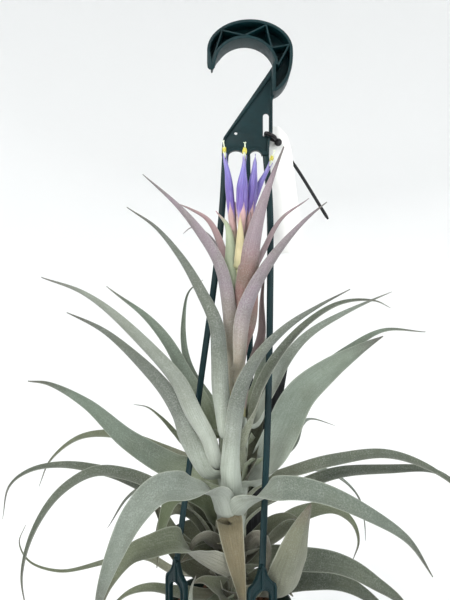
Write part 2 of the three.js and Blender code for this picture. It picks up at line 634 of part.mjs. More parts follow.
// Tag: a blank card with a cut top, hung by its hole behind the plate.
function makeTag() {
  const half = TAG.wide / 2;
  const top = 11;
  const shape = outline([
    [3, top], [half - 2, top - 7], [half, top - 18], [half, top - TAG.long], [-half, top - TAG.long],
    [-half, top - 18], [2 - half, top - 7], [-3, top],
  ]);
  shape.holes.push(new THREE.Path().absarc(0, 0, TAG.hole, 0, 2 * Math.PI, false));
  const geometry = slab(shape, TAG.thick, 6);
  geometry.rotateY(-THREE.MathUtils.degToRad(TAG.lean));
  geometry.translate(TAG_HOLE[0], TAG.front + TAG.thick / 2, TAG_HOLE[1]);
  return geometry;
}

// Tag pin: a loop round the plate's edge through the slot, a round head and a straight tail.
function makePin() {
  const [x, z] = TAG_HOLE;
  const loop = bar([
    [x, 2.3, z], [17.5, -3.9, -64.4], [12.6, -4.1, -62.4], [12.6, 0, -62.4], [12.6, 3.8, -62.6],
    [17.5, 3.7, -64.6],
  ], circle(PIN_RADIUS), 28, true);
  const tail = bar([[x, 2.3, z], [x, 7, z], [x + 2.8, 9.2, z - 3.4], [x + 11.5, 9.4, z - 13], [58, 10, -120]],
    circle(PIN_RADIUS), 20);
  const head = new THREE.SphereGeometry(PIN_HEAD_RADIUS, 10, 8);
  head.translate(x, 2.3, z);
  return toGeometry(join([loop, tail, head]));
}

add("hanger_hook", makeHook(), HANGER_GREEN, 0.42);
add("hanger_strand_left", makeStrand("left"), HANGER_GREEN, 0.42);
add("hanger_strand_middle", makeStrand("middle"), HANGER_GREEN, 0.42);
add("hanger_strand_right", makeStrand("right"), HANGER_GREEN, 0.42);
add("pot", makePot(), POT_GREEN, 0.5);
add("growing_medium", makeMedium(), MEDIUM_BROWN, 0.95);
add("plant_label", labelGeometry(), PLASTIC_BLACK, 0.7);
add("tag", makeTag(), CARD_WHITE, 0.8);
add("tag_pin", makePin(), PLASTIC_BLACK, 0.4);
add("stem", makeStem(), STEM_GREEN, 0.8);

LEAVES.forEach(([name, color, width, face, route], order) => {
  const root = LOWEST_LEAF + order * LEAF_SPACING;
  add(name, makeBlade({ root, width, face, route }), color, 0.8);
});

BRACTS.forEach(([name, color, width, face, route], order) => {
  const root = LOWEST_BRACT + order * BRACT_SPACING;
  add(name, makeBlade({ root, width, face, route }), color, 0.7);
});

for (const [name, points] of FLOWERS) {
  add(name, makeFlower(points), PETAL_VIOLET, 0.5);
}

export default group;
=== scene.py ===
# An air plant in flower in a small pot, on a moulded hanger with three strands.
# Tables hold millimetres in the row's frame: +Z up, +X to the viewer's right, +Y away.
# The origin is the seat inside the hanger's hook.
import math
import random

import bmesh
import bpy
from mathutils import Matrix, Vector


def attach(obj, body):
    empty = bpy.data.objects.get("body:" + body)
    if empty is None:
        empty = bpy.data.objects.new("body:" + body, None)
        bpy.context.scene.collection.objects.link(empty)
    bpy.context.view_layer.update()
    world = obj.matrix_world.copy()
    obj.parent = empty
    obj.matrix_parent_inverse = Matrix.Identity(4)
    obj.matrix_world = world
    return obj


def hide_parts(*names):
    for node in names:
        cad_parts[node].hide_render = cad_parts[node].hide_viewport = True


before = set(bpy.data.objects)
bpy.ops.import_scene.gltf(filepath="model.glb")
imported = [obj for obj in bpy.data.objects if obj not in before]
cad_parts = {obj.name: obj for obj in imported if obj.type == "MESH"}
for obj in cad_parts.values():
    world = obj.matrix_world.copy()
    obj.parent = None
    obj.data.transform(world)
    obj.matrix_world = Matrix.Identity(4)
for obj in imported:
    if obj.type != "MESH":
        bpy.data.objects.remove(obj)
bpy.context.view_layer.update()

MM = 0.001
UP = Vector((0, 0, 1))
STRIP_MAP = "strip"
HARD = 35  # degrees from which an edge of a moulded piece stays sharp

# The viewing angle: level, square to the wall, 400 mm in front of the hanger.
CAMERA_PLACE = (-16, -400, -178)
SENSOR = 36
LENS = 34.29

# Driving sizes, as in the CAD source.
BAND_FRONT = -12
BAND_BACK = 4
BAND_WEB = 2.4
PLATE_DEPTH = 5
HOOK = (1, -8.2, 29.2, 21)  # centre x, centre z, half width, height
THROAT = (-2.4, -20, 21, 20)
RIM_WIDTH = 2
RIB_THICKNESS = 1.1
RIB_BEARINGS = (172, 134, 90, 66, 38, 12, 6)  # in turn on the throat's and the band's edge
PLATE_FOOT = -77
STRAND_WIDE = 4.6
STRAND_THICK = 2.4
STRAND_RIDGE = 0.5
STRAND_STEPS = 90
STRAND_SIDES = 20
EYE_WIDE = 20.5
EYE_OPEN = 11
EYE_THICK = 2.4
EYE_NECK = -346
EYE_TOP = -360
EYE_SILL = -392
EYE_FOOT = -397
EYE_BEARINGS = {"left": 222, "right": 296, "middle": 78}
EYE_RADIUS = 46.2
POT_X = -13
POT_RIM = 44
POT_TOP = -389
POT_FOOT_RADIUS = 32
POT_FOOT = -448
MEDIUM_TOP = -395
STEM_FOOT = -405
STEM_TOP = -144
STEM_LEAN = (8, -16)
STEM_RADIUS = 9
STEM_NECK = 3.5
STEM_HEAD = 5
STEM_STEPS = 180
LOWEST_LEAF = -387
LEAF_SPACING = 3.8
LOWEST_BRACT = -243
BRACT_SPACING = 9

# Fineness of curves and blades.
SPAN_STEPS = 20
BEND_STEPS = 8
BLADE_STEPS = 90
BLADE_COLUMNS = 12

# Leaves and bracts from the lowest up: piece, material slot, width, show, taper and route.
LEAVES = [
    ["leaf_bottom_left", "leaf_olive", 16, 0.3, 1.5,
     [[-34, -6, -382], [-50, -10, -377], [-66, -12, -374], [-82, -13, -377], [-97, -14, -388]]],
    ["leaf_front_low", "leaf_green", 14, 0.3, 1.5,
     [[-22, -18, -380], [-30, -36, -377], [-37, -46, -368], [-37, -47, -358], [-34, -47, -349]]],
    ["leaf_right_near", "leaf_green", 27, -0.7, 5,
     [[12, -9, -376], [20, -24, -369], [25, -40, -345], [29, -48, -324], [36, -54, -302]]],
    ["leaf_right_lowest", "leaf_green", 20, 0.6, 2.2,
     [[18, 8, -380], [41, 2, -374], [64, -6, -374], [88, -12, -385], [104, -16, -399]]],
    ["leaf_left_wave", "leaf_olive", 14, 0.5, 0.6,
     [[-34, 10, -374], [-54, 18, -376], [-72, 24, -369], [-88, 28, -369], [-106, 34, -376],
      [-143, 40, -388], [-167, 42, -381], [-175, 42, -365], [-170, 42, -351]]],
    ["leaf_right_low", "leaf_green", 21, 0.6, 2.2,
     [[13, -4, -357], [35, -12, -354], [54, -20, -352], [67, -25, -355], [81, -30, -362],
      [96, -33, -371], [108, -35, -386]]],
    ["leaf_left_low", "leaf_olive", 30, 0.5, 1.6,
     [[-16, -20, -356], [-33, -34, -341], [-47, -45, -328], [-60, -50, -328], [-73, -52, -332],
      [-85, -55, -349], [-92, -56, -368]]],
    ["leaf_right_hook", "leaf_olive", 23, 0.6, 1.1,
     [[11, 12, -352], [40, 24, -337], [65, 32, -335], [81, 36, -348], [86, 38, -364], [82, 38, -377]]],
    ["leaf_left_loop", "leaf_green", 12, 0.5, 2.5,
     [[-34, 4, -329], [-59, 7, -314], [-85, 4, -301], [-107, 0, -298], [-130, -4, -312],
      [-148, -8, -339], [-155, -10, -366], [-152, -10, -390]]],
    ["leaf_dry", "leaf_dry", 28, 0.62, 1.3,
     [[-13, -19, -326], [-12, -27, -330], [-10, -31, -341], [-7, -34, -356], [-5, -36, -370],
      [-6, -38, -384]]],
    ["leaf_left_arch", "leaf_green", 12.5, 0.45, 2,
     [[-34, 16, -334], [-73, 21, -318], [-101, 24, -306], [-134, 26, -300], [-162, 28, -306],
      [-178, 28, -319], [-183, 28, -343]]],
    ["leaf_left_inner", "leaf_green", 20, 0.7, 1.8,
     [[-26, -3, -320], [-40, -6, -310], [-51, -12, -313], [-57, -17, -327], [-60, -20, -343],
      [-61, -22, -354]]],
    ["leaf_right_sweep", "leaf_green", 12, 0.5, 2.5,
     [[10, 10, -325], [38, 16, -314], [71, 20, -304], [107, 24, -303], [138, 26, -306],
      [160, 28, -319], [172, 30, -337]]],
    ["leaf_back_low", "leaf_olive", 18, 0, 1.3,
     [[-14, 20, -338], [-12, 48, -325], [-8, 84, -332], [-4, 118, -366]]],
    ["leaf_front_left", "leaf_grey", 25, 0.6, 2.5,
     [[-22, -24, -304], [-36, -40, -296], [-55, -56, -293], [-68, -66, -304], [-78, -72, -322],
      [-86, -74, -343], [-91, -74, -366]]],
    ["leaf_front_right", "leaf_olive", 25, 0.65, 1.3,
     [[-3, -25, -311], [10, -41, -299], [24, -50, -294], [47, -58, -295], [70, -64, -304],
      [90, -67, -318], [105, -68, -340]]],
    ["leaf_back_left_low", "leaf_green", 14, 0, 1.3,
     [[-33, 20, -325], [-66, 40, -318], [-93, 52, -334], [-110, 58, -360]]],
    ["leaf_right_arch", "leaf_green", 12, 0.5, 2.5,
     [[7, 0, -307], [34, 4, -299], [62, 8, -292], [97, 10, -289], [130, 12, -299], [152, 12, -313],
      [166, 14, -330]]],
    ["leaf_left_wide", "leaf_green", 29, 0.8, 1.2,
     [[-30, 10, -305], [-56, 7, -295], [-82, -4, -276], [-108, -14, -248], [-132, -22, -234],
      [-145, -26, -232]]],
    ["leaf_back_right_droop", "leaf_green", 10, 0.3, 2,
     [[10, 10, -308], [32, 15, -302], [50, 28, -304], [72, 38, -315], [88, 44, -331], [93, 46, -350],
      [94, 47, -366]]],
    ["leaf_right_wide", "leaf_green", 29, 0.75, 2.9,
     [[8, -4, -299], [22, -4, -273], [37, 0, -245], [58, 4, -226], [77, 8, -215], [98, 12, -205]]],
    ["leaf_back_left_arch", "leaf_olive", 15, 0.5, 1.6,
     [[-26, 25, -305], [-67, 46, -295], [-108, 60, -286], [-136, 66, -290], [-160, 70, -310],
      [-170, 72, -333]]],
    ["leaf_front_up", "leaf_grey", 20, -0.4, 1.1,
     [[-12, -26, -289], [-10, -32, -262], [-6, -36, -237], [4, -37, -217], [24, -34, -195],
      [45, -30, -181], [66, -26, -171]]],
    ["leaf_left_middle", "leaf_green", 22, -0.65, 1.4,
     [[-29, -14, -294], [-40, -21, -273], [-46, -24, -254], [-63, -25, -228], [-92, -25, -201],
      [-120, -24, -187]]],
    ["leaf_right_long", "leaf_green", 24, 0.5, 0.9,
     [[10, 8, -289], [31, 14, -254], [53, 18, -231], [76, 22, -215], [103, 26, -201],
      [134, 28, -201]]],
    ["leaf_back_left_hook", "leaf_olive", 9, 0.3, 1.5,
     [[-27, 18, -290], [-46, 28, -287], [-54, 31, -279], [-65, 33, -266], [-75, 36, -259],
      [-86, 38, -258]]],
    ["leaf_left_high", "leaf_grey", 19, -0.7, 1.3,
     [[-22, -16, -288], [-28, -24, -270], [-37, -29, -252], [-48, -32, -228], [-75, -38, -198],
      [-106, -40, -174], [-132, -40, -163]]],
    ["leaf_right_bend", "leaf_olive", 13, 0.5, 1.6,
     [[-4, -18, -272], [2, -24, -252], [8, -27, -233], [22, -26, -209], [38, -23, -193],
      [61, -18, -181], [86, -13, -179], [97, -10, -183]]],
    ["leaf_back_inner", "leaf_green", 16, 0, 1.3,
     [[-15, 16, -282], [-18, 40, -270], [-20, 72, -274], [-22, 106, -298]]],
    ["leaf_back_middle", "leaf_green", 12, 0.2, 1.5,
     [[5, 13, -296], [20, 15, -293], [33, 19, -286], [43, 44, -275], [56, 70, -275], [77, 84, -285]]],
    ["leaf_left_high_back", "leaf_green", 17, 0.6, 1.5,
     [[-23, 4, -272], [-32, 9, -253], [-43, 13, -235], [-57, 17, -211], [-76, 20, -189],
      [-104, 24, -167]]],
    ["leaf_right_high", "leaf_grey", 12, 0.6, 1.6,
     [[6, -4, -263], [14, -3, -245], [28, 0, -219], [45, 3, -201], [68, 7, -187], [104, 12, -173]]],
    ["leaf_back_left_curl", "leaf_green", 11, 0.4, 1.5,
     [[-20, 19, -262], [-30, 28, -250], [-40, 32, -235], [-47, 37, -215], [-48, 40, -193],
      [-44, 42, -172], [-33, 42, -162]]],
    ["leaf_left_top", "leaf_grey", 20, -0.85, 1.0,
     [[-15, -24, -267], [-19, -28, -240], [-20, -29, -215], [-22, -28, -194], [-32, -26, -173],
      [-46, -22, -149], [-63, -18, -128], [-82, -15, -115]]],
    ["leaf_back_top", "leaf_green", 12, 0, 1.3,
     [[4.5, 6, -245], [10.5, 16, -228], [13, 44, -208], [15, 100, -204]]],
    ["leaf_back_high", "leaf_green", 14, 0, 1.3,
     [[-12, 4, -241], [-14, 22, -222], [-16, 50, -212], [-18, 92, -216]]],
]
BRACTS = [
    ["bract_back_dusky", "bract_dusky", 11, 0.6, 1.6,
     [[2.5, -4, -225], [9.5, -2, -202], [10, -1, -178], [12, -2, -155]]],
    ["bract_right", "bract_lilac", 19, -0.55, 1.2,
     [[-6, -24, -218], [-4, -30, -190], [3, -31, -170], [15, -29, -150], [34, -23, -129],
      [52, -18, -113]]],
    ["bract_left", "bract_lilac", 16, -0.5, 1.5,
     [[-14, -17, -208], [-14, -21, -185], [-19, -23, -158], [-31, -21, -136], [-48, -17, -114],
      [-72, -12, -93]]],
    ["bract_front", "bract_lilac", 37, -0.92, 0.65,
     [[-3, -18, -198], [-2, -21, -178], [0, -26, -153], [3, -28, -136], [9, -27, -113], [16, -24, -94],
      [23, -21, -77]]],
    ["bract_right_inner", "bract_lilac", 15, -0.3, 1.3,
     [[2, -10, -163], [11, -14, -144], [23, -14, -123], [41, -11, -108]]],
    ["bract_left_curl", "bract_lilac", 12, 0.2, 1.3,
     [[-13, -4, -166], [-20, -9, -142], [-29, -10, -132], [-39, -7, -129], [-45, -6, -133]]],
    ["bract_left_inner", "bract_pink", 17, -0.3, 1.3,
     [[-14, -11, -168], [-18, -12, -146], [-28, -12, -124], [-40, -11, -115], [-49, -9, -111]]],
    ["floral_bract_left", "bract_pink", 16, -0.8, 1.3,
     [[-12, -19, -160], [-12.5, -22, -142], [-15, -21.5, -128], [-22, -20, -118]]],
    ["floral_bract_right", "bract_pink", 12, -0.8, 1.3,
     [[0, -19.5, -155], [1, -20.5, -138], [1, -20.5, -120]]],
    ["floral_bract_front", "bract_cream", 13, -0.8, 1.3,
     [[-6, -23, -154], [-6, -25.5, -138], [-6, -25, -120]]],
]
# Flowers: piece, greatest radius, whether it is open, and axis.
FLOWERS = [
    ["flower_left", 2.6, True,
     [[-8.6, -16.4, -143.4], [-11, -16.5, -125], [-14, -19, -95], [-16, -20, -84], [-17, -20, -73]]],
    ["flower_middle", 3.6, True,
     [[-5, -19.4, -143.4], [-4.7, -20, -125], [-4.5, -22, -102], [-3.2, -23, -84], [-2.8, -23, -75]]],
    ["flower_right", 3.1, False,
     [[-1.6, -16, -143.4], [0, -16, -125], [3, -17, -97], [4, -17, -86], [4.4, -17, -80]]],
    ["flower_far_right", 2.3, True,
     [[-4.6, -12.4, -143.4], [-1, -11.5, -125], [7, -11, -101], [14, -11, -87], [17.5, -11, -77]]],
]
# Short old leaf bases round the stem's foot: root, width, show, taper and route.
OLD_BASES = [
    [-352, 22, -0.6, 2, [[-22, -17, -341], [-29, -22, -334], [-36, -25, -338], [-39, -26, -346]]],
    [-356, 26, 0.5, 1.6,
     [[-26, 2, -340], [-38, 3, -326], [-50, 4, -325], [-60, 5, -334], [-66, 6, -348]]],
    [-350, 20, -0.6, 2, [[2, -12, -344], [7, -16, -337], [11, -18, -346], [12, -18, -362]]],
    [-384, 24, 0.6, 2, [[-17, -20, -372], [-22, -27, -364], [-30, -30, -359], [-37, -31, -361]]],
    [-382, 22, 0.6, 2, [[3, -10, -373], [12, -15, -365], [21, -19, -366], [29, -22, -374]]],
    [-366, 20, 0.5, 1.6, [[4, 6, -352], [16, 8, -338], [30, 10, -334], [42, 12, -340]]],
    [-366, 30, 0.7, 2, [[-24, 0, -352], [-36, 2, -341], [-48, 4, -342], [-60, 6, -352]]],
    [-376, 26, 0.5, 2, [[-20, -10, -360], [-28, -14, -350], [-38, -16, -348], [-46, -16, -354]]],
    [-380, 26, 0.6, 2.5,
     [[-27, -1, -368], [-42, -2, -356], [-54, -3, -343], [-60, -4, -328], [-68, -4, -315]]],
    [-300, 16, 0.6, 2, [[1, 0, -287], [6, 2, -268], [10, 4, -248], [13, 6, -228]]],
]


# Numbers and lines

def smooth(value, low, high):
    t = min(1, max(0, (value - low) / (high - low)))
    return t * t * (3 - 2 * t)


def lerp(a, b, t):
    return a + (b - a) * t


def catmull(controls):
    """Points along a centripetal Catmull-Rom curve through the controls."""
    def mix(p, q, u, v, at):
        return p * ((v - at) / (v - u)) + q * ((at - u) / (v - u))
    ends = [controls[0] * 2 - controls[1], *controls, controls[-1] * 2 - controls[-2]]
    line = []
    for a, b, c, d in zip(ends, ends[1:], ends[2:], ends[3:]):
        knots = [0]
        for p, q in ((a, b), (b, c), (c, d)):
            knots.append(knots[-1] + max(1e-6, (q - p).length) ** 0.5)
        k0, k1, k2, k3 = knots
        for step in range(SPAN_STEPS):
            at = lerp(k1, k2, step / SPAN_STEPS)
            low = mix(mix(a, b, k0, k1, at), mix(b, c, k1, k2, at), k0, k2, at)
            high = mix(mix(b, c, k1, k2, at), mix(c, d, k2, k3, at), k1, k3, at)
            line.append(mix(low, high, k1, k2, at))
    return line + [controls[-1].copy()]


def resample(line, steps):
    """The same line as steps + 1 points at equal distances."""
    lengths = [0]
    for p, q in zip(line, line[1:]):
        lengths.append(lengths[-1] + (q - p).length)
    made, span = [], 0
    for step in range(steps + 1):
        want = lengths[-1] * step / steps
        while span < len(line) - 2 and lengths[span + 1] < want:
            span += 1
        part = (want - lengths[span]) / max(1e-9, lengths[span + 1] - lengths[span])
        made.append(line[span].lerp(line[span + 1], min(1, part)))
    return made


def curve_through(points, steps):
    return resample(catmull([Vector(p) for p in points]), steps)


def rotated(a, b, turn):
    """The pair turned from the first axis towards the second."""
    c, s = math.cos(turn), math.sin(turn)
    return a * c - b * s, a * s + b * c


def circle(x, y, radius, z, segments):
    turns = [2 * math.pi * step / segments for step in range(segments)]
    return [(x + radius * math.cos(turn), y + radius * math.sin(turn), z) for turn in turns]


def tangents(line):
    ahead = line[1:] + [line[-1] * 2 - line[-2]]
    behind = [line[0] * 2 - line[1]] + line[:-1]
    return [(q - p).normalized() for p, q in zip(behind, ahead)]


def rgb(red, green, blue):
    """A colour given as 0 to 255, in the linear numbers that shaders take."""
    linear = [((c / 255 + 0.055) / 1.055) ** 2.4 if c > 10 else c / 3295 for c in (red, green, blue)]
    return (*linear, 1)


# Meshes

def new_object(name, data):
    obj = bpy.data.objects.new(name, data)
    bpy.context.scene.collection.objects.link(obj)
    return obj


def shaped_mesh(obj):
    """The mesh that the object's settings and modifiers make."""
    bpy.context.view_layer.update()
    return bpy.data.meshes.new_from_object(obj.evaluated_get(bpy.context.evaluated_depsgraph_get()))


def faces_of(made):
    made.verts.index_update()
    return [[v.index for v in face.verts] for face in made.faces]


class Shape:
    """Points in millimetres, with each face's material and corner coordinates."""

    def __init__(self):
        self.points, self.faces, self.corners, self.slots = [], [], [], []

    def add(self, points, faces, corners=None, slot=0):
        first = len(self.points)
        self.points += [tuple(p) for p in points]
        self.faces += [[first + i for i in face] for face in faces]
        self.corners += corners or [[(0, 0)] * len(face) for face in faces]
        self.slots += [slot] * len(faces)

    def build(self, name, slot, nodes=(), sharp=60, looks=()):
        """The finished piece, riding on the row's one body; its slot's look is the usual one."""
        mesh = bpy.data.meshes.new(name)
        mesh.from_pydata([[c * MM for c in p] for p in self.points], [], self.faces)
        layer = mesh.uv_layers.new(name=STRIP_MAP)
        for loop, corner in zip(layer.data, [c for face in self.corners for c in face]):
            loop.uv = corner
        mesh.polygons.foreach_set("material_index", self.slots)
        for look in looks or (slot,):
            mesh.materials.append(LOOKS[look])
        cleaned = bmesh.new()
        cleaned.from_mesh(mesh)
        bmesh.ops.recalc_face_normals(cleaned, faces=cleaned.faces)
        cleaned.to_mesh(mesh)
        cleaned.free()
        mesh.shade_smooth()
        mesh.set_sharp_from_angle(angle=math.radians(sharp))
        obj = new_object(name, mesh)
        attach(obj, "root")
        if nodes:
            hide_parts(*nodes)
        return obj


def skin(shape, rings, slot=0, around=None):
    """A closed body through rings of equal length; corner coordinates run along and round."""
    count, last = len(rings[0]), len(rings) - 1
    around = around or [2 * j / count for j in range(count + 1)]
    faces, corners = [], []
    for i in range(last):
        for j in range(count):
            k = (j + 1) % count
            faces.append([i * count + j, i * count + count + j, i * count + count + k, i * count + k])
            u, v = i / last, (i + 1) / last
            a, b = around[j], around[j + 1]
            corners.append([(u, a), (v, a), (v, b), (u, b)])
    for end, at in ((0, 0), (last * count, 1)):
        half = count // 2
        for j in range(half):
            near, far = j, j + 1
            face = [near, far, (count - far) % count, (count - near) % count]
            face = list(dict.fromkeys(end + i for i in face))
            faces.append(face)
            corners.append([(at, 0.5)] * len(face))
    shape.add([p for ring in rings for p in ring], faces, corners, slot)


def tube(shape, line, radius_at, sides=10, slot=0, flat=1):
    """A round bar along a line, flattened by the factor flat."""
    ahead = tangents(line)
    across = ahead[0].orthogonal().normalized()
    rings = []
    for i, (centre, along) in enumerate(zip(line, ahead)):
        across = (across - along * across.dot(along)).normalized()
        other = along.cross(across)
        radius = radius_at(i / (len(line) - 1))
        rings.append([
            centre + across * (radius * math.cos(turn)) + other * (radius * flat * math.sin(turn))
            for turn in (2 * math.pi * side / sides for side in range(sides))])
    skin(shape, rings, slot)


def turned(shape, profile, centre, segments):
    """A lathe body; the profile starts and ends on the axis."""
    x, y = centre
    points = [(x, y, profile[0][1])]
    faces, inner = [], profile[1:-1]
    for radius, z in inner:
        points += circle(x, y, radius, z, segments)
    points.append((x, y, profile[-1][1]))
    for step in range(segments):
        other = (step + 1) % segments
        faces.append([0, 1 + other, 1 + step])
        for row in range(len(inner) - 1):
            a, b = 1 + row * segments, 1 + (row + 1) * segments
            faces.append([a + step, a + other, b + other, b + step])
        tail = 1 + (len(inner) - 1) * segments
        faces.append([tail + step, tail + other, len(points) - 1])
    shape.add(points, faces)


def flat_solid(rings, depth, bevel):
    """Points and faces of a bevelled flat solid in the X-Z plane about y = 0; rings after the
    first are its holes."""
    curve = bpy.data.curves.new("flat", "CURVE")
    curve.dimensions = "2D"
    curve.fill_mode = "BOTH"
    curve.extrude = depth / 2 - bevel
    curve.bevel_depth = bevel
    curve.bevel_resolution = 2
    curve.offset = -bevel
    for ring in rings:
        spline = curve.splines.new("POLY")
        spline.points.add(len(ring) - 1)
        for point, (x, z) in zip(spline.points, ring):
            point.co = (x, z, 0, 1)
        spline.use_cyclic_u = True
    obj = new_object("flat", curve)
    mesh = shaped_mesh(obj)
    bpy.data.objects.remove(obj)
    cleaned = bmesh.new()
    cleaned.from_mesh(mesh)
    bmesh.ops.remove_doubles(cleaned, verts=cleaned.verts, dist=1e-4)
    points = [Vector((v.co.x, -v.co.z, v.co.y)) for v in cleaned.verts]
    faces = faces_of(cleaned)
    cleaned.free()
    bpy.data.meshes.remove(mesh)
    return points, faces


def arc(cx, cz, wide, tall, start, end, steps):
    """Points on an ellipse from one angle to another, in degrees."""
    turns = [math.radians(lerp(start, end, step / steps)) for step in range(steps + 1)]
    return [(cx + wide * math.cos(turn), cz + tall * math.sin(turn)) for turn in turns]


# Materials

class Look:
    """A procedural material in the making."""

    def __init__(self, name, **plain):
        self.material = bpy.data.materials.new(name)
        self.material.use_nodes = True
        self.tree = self.material.node_tree
        self.shader = self.tree.nodes["Principled BSDF"]
        self.set(**plain)

    def set(self, **values):
        for name, value in values.items():
            self.put(self.shader.inputs[name.replace("_", " ")], value)

    def put(self, socket, value):
        if isinstance(value, bpy.types.NodeSocket):
            self.tree.links.new(value, socket)
        else:
            socket.default_value = value

    def node(self, kind, inputs, **settings):
        node = self.tree.nodes.new("ShaderNode" + kind)
        for name, value in settings.items():
            setattr(node, name, value)
        for name, value in inputs.items():
            self.put(node.inputs[name], value)
        return node

    def place(self):
        """Coordinates in metres in the row's frame."""
        return self.node("TexCoord", {}).outputs["Object"]

    def strip(self):
        """Along a blade from 0 to 1, across it from 0 to 1, and 1 on its underside."""
        split = self.node("SeparateXYZ", {0: self.node("UVMap", {}, uv_map=STRIP_MAP).outputs[0]})
        along, round_it = split.outputs[0], split.outputs[1]
        across = self.math("SUBTRACT", 1, self.math("ABSOLUTE", self.math("SUBTRACT", round_it, 1)))
        return along, across, self.math("GREATER_THAN", round_it, 1)

    def vector(self, x, y, z=0):
        return self.node("CombineXYZ", {0: x, 1: y, 2: z}).outputs[0]

    def math(self, operation, a, b=0):
        return self.node("Math", {0: a, 1: b}, operation=operation).outputs[0]

    def noise(self, vector, scale, detail=2, roughness=0.5):
        inputs = {"Vector": vector, "Scale": scale, "Detail": detail, "Roughness": roughness}
        return self.node("TexNoise", inputs).outputs[0]

    def span(self, value, low, high, to_low=0, to_high=1):
        """value from low..high brought to another range, and kept inside it."""
        inputs = {0: value, 1: low, 2: high, 3: to_low, 4: to_high}
        return self.node("MapRange", inputs).outputs[0]

    def mix(self, amount, a, b, how="MIX"):
        node = self.node("Mix", {0: amount, 6: a, 7: b}, data_type="RGBA", blend_type=how)
        return node.outputs[2]

    def ramp(self, value, stops):
        node = self.node("ValToRGB", {0: value})
        elements = node.color_ramp.elements
        elements[0].position, elements[1].position = stops[0][0], stops[-1][0]
        elements[0].color, elements[1].color = stops[0][1], stops[-1][1]
        for place, colour in stops[1:-1]:
            elements.new(place).color = colour
        return node.outputs[0]

    def bump(self, height, distance, normal=None):
        """A normal for relief of this many millimetres, over another normal."""
        inputs = {"Height": height, "Distance": distance * MM}
        if normal:
            inputs["Normal"] = normal
        return self.node("Bump", inputs).outputs[0]


def leaf_look(name, root, upper, under, tip, scurf=0.4, streak=0.35, fade=(0.14, 0.42)):
    """Scaly leaf tissue: streaked along its length, dusted with pale scales. fade tells over
    which part of the length the root's colour passes into the blade's."""
    root, upper, under, tip = (rgb(*colour) for colour in (root, upper, under, tip))
    look = Look(name, Sheen_Weight=0.15, Sheen_Roughness=0.5)
    along, across, below = look.strip()
    place = look.place()
    foot = [(0, root), (fade[0], root)]
    top = look.ramp(along, [*foot, (fade[1], upper), (0.82, upper), (1, tip)])
    bottom = look.ramp(along, [*foot, (fade[1], under), (0.85, under), (1, tip)])
    colour = look.mix(below, top, bottom)
    lengthwise = look.vector(look.math("MULTIPLY", along, 3), look.math("MULTIPLY", across, 16),
                             look.math("MULTIPLY", below, 7))
    lines = look.noise(lengthwise, 2.2, 4, 0.6)
    darker = look.mix(1, colour, rgb(150, 158, 136), "MULTIPLY")
    colour = look.mix(look.span(lines, 0.42, 0.66, 0, streak), colour, darker)
    clouds = look.noise(place, 55, 3)
    colour = look.mix(look.span(clouds, 0.45, 0.75, 0, 0.4), colour, rgb(86, 92, 72))
    scales = look.noise(place, 1100, 3, 0.7)
    patches = look.span(look.noise(place, 140, 2), 0.35, 0.7, 0.45, 1)
    thinning = look.span(along, 0.1, 0.75, 1, 0.55)
    amount = look.math("MULTIPLY", look.span(scales, 0.44, 0.66, 0, scurf), patches)
    colour = look.mix(look.math("MULTIPLY", amount, thinning), colour, rgb(190, 196, 190))
    edge = look.math("ABSOLUTE", look.math("SUBTRACT", look.math("MULTIPLY", across, 2), 1))
    colour = look.mix(look.span(edge, 0.9, 0.99, 0, 0.35), colour, rgb(190, 194, 180))
    height = look.math("ADD", look.math("MULTIPLY", scales, 0.5), lines)
    look.set(Base_Color=colour, Roughness=look.span(scales, 0.3, 0.7, 0.62, 0.82),
             Normal=look.bump(height, 0.22))
    return look.material


def petal_look():
    """Violet petal tissue, paler at its foot and along its lines."""
    look = Look("petal", Sheen_Weight=0.2, Subsurface_Weight=0.12, Subsurface_Scale=0.002)
    along, across, _ = look.strip()
    stops = [(0, rgb(200, 184, 182)), (0.3, rgb(184, 164, 188)), (0.42, rgb(108, 78, 158)),
             (0.62, rgb(92, 72, 152)), (0.85, rgb(116, 108, 180)), (1, rgb(148, 144, 188))]
    colour = look.ramp(along, stops)
    lines = look.noise(look.vector(look.math("MULTIPLY", along, 2), look.math("MULTIPLY", across, 9)),
                       3, 3)
    colour = look.mix(look.span(lines, 0.45, 0.65, 0, 0.55), colour, rgb(156, 150, 204))
    deep = look.math("MULTIPLY", look.span(lines, 0.5, 0.32, 0, 0.5), look.span(along, 0.35, 0.5))
    colour = look.mix(deep, colour, rgb(56, 36, 118))
    look.set(Base_Color=colour, Roughness=look.span(lines, 0.3, 0.7, 0.38, 0.55),
             Normal=look.bump(lines, 0.12))
    return look.material


def grainy_look(name, colour, other, scale, rough, depth):
    """An even surface with soft clouds and a fine grain."""
    look = Look(name)
    place = look.place()
    clouds = look.noise(place, scale, 3)
    grain = look.noise(place, 1500, 2, 0.7)
    look.set(Base_Color=look.mix(look.span(clouds, 0.35, 0.7), colour, other),
             Roughness=look.span(grain, 0.3, 0.7, *rough),
             Normal=look.bump(look.math("ADD", clouds, grain), depth))
    return look.material


def plastic_look(name, colour, worn, rough):
    """Moulded plastic: faint flow marks, fine texture and a few paler rubbed places."""
    look = Look(name, Specular_IOR_Level=0.24)
    place = look.place()
    clouds = look.noise(place, 38, 4, 0.6)
    grain = look.noise(place, 1900, 2, 0.6)
    rubs = look.noise(place, 260, 4, 0.75)
    tone = look.mix(look.span(clouds, 0.35, 0.7, 0, 0.5), colour, worn)
    tone = look.mix(look.span(rubs, 0.6, 0.74, 0, 0.35), tone, worn)
    look.set(Base_Color=tone,
             Roughness=look.math("ADD", look.span(grain, 0.3, 0.7, rough - 0.05, rough + 0.07),
                                 look.span(rubs, 0.5, 0.75, 0, 0.12)),
             Normal=look.bump(grain, 0.03, look.bump(clouds, 0.15)))
    return look.material


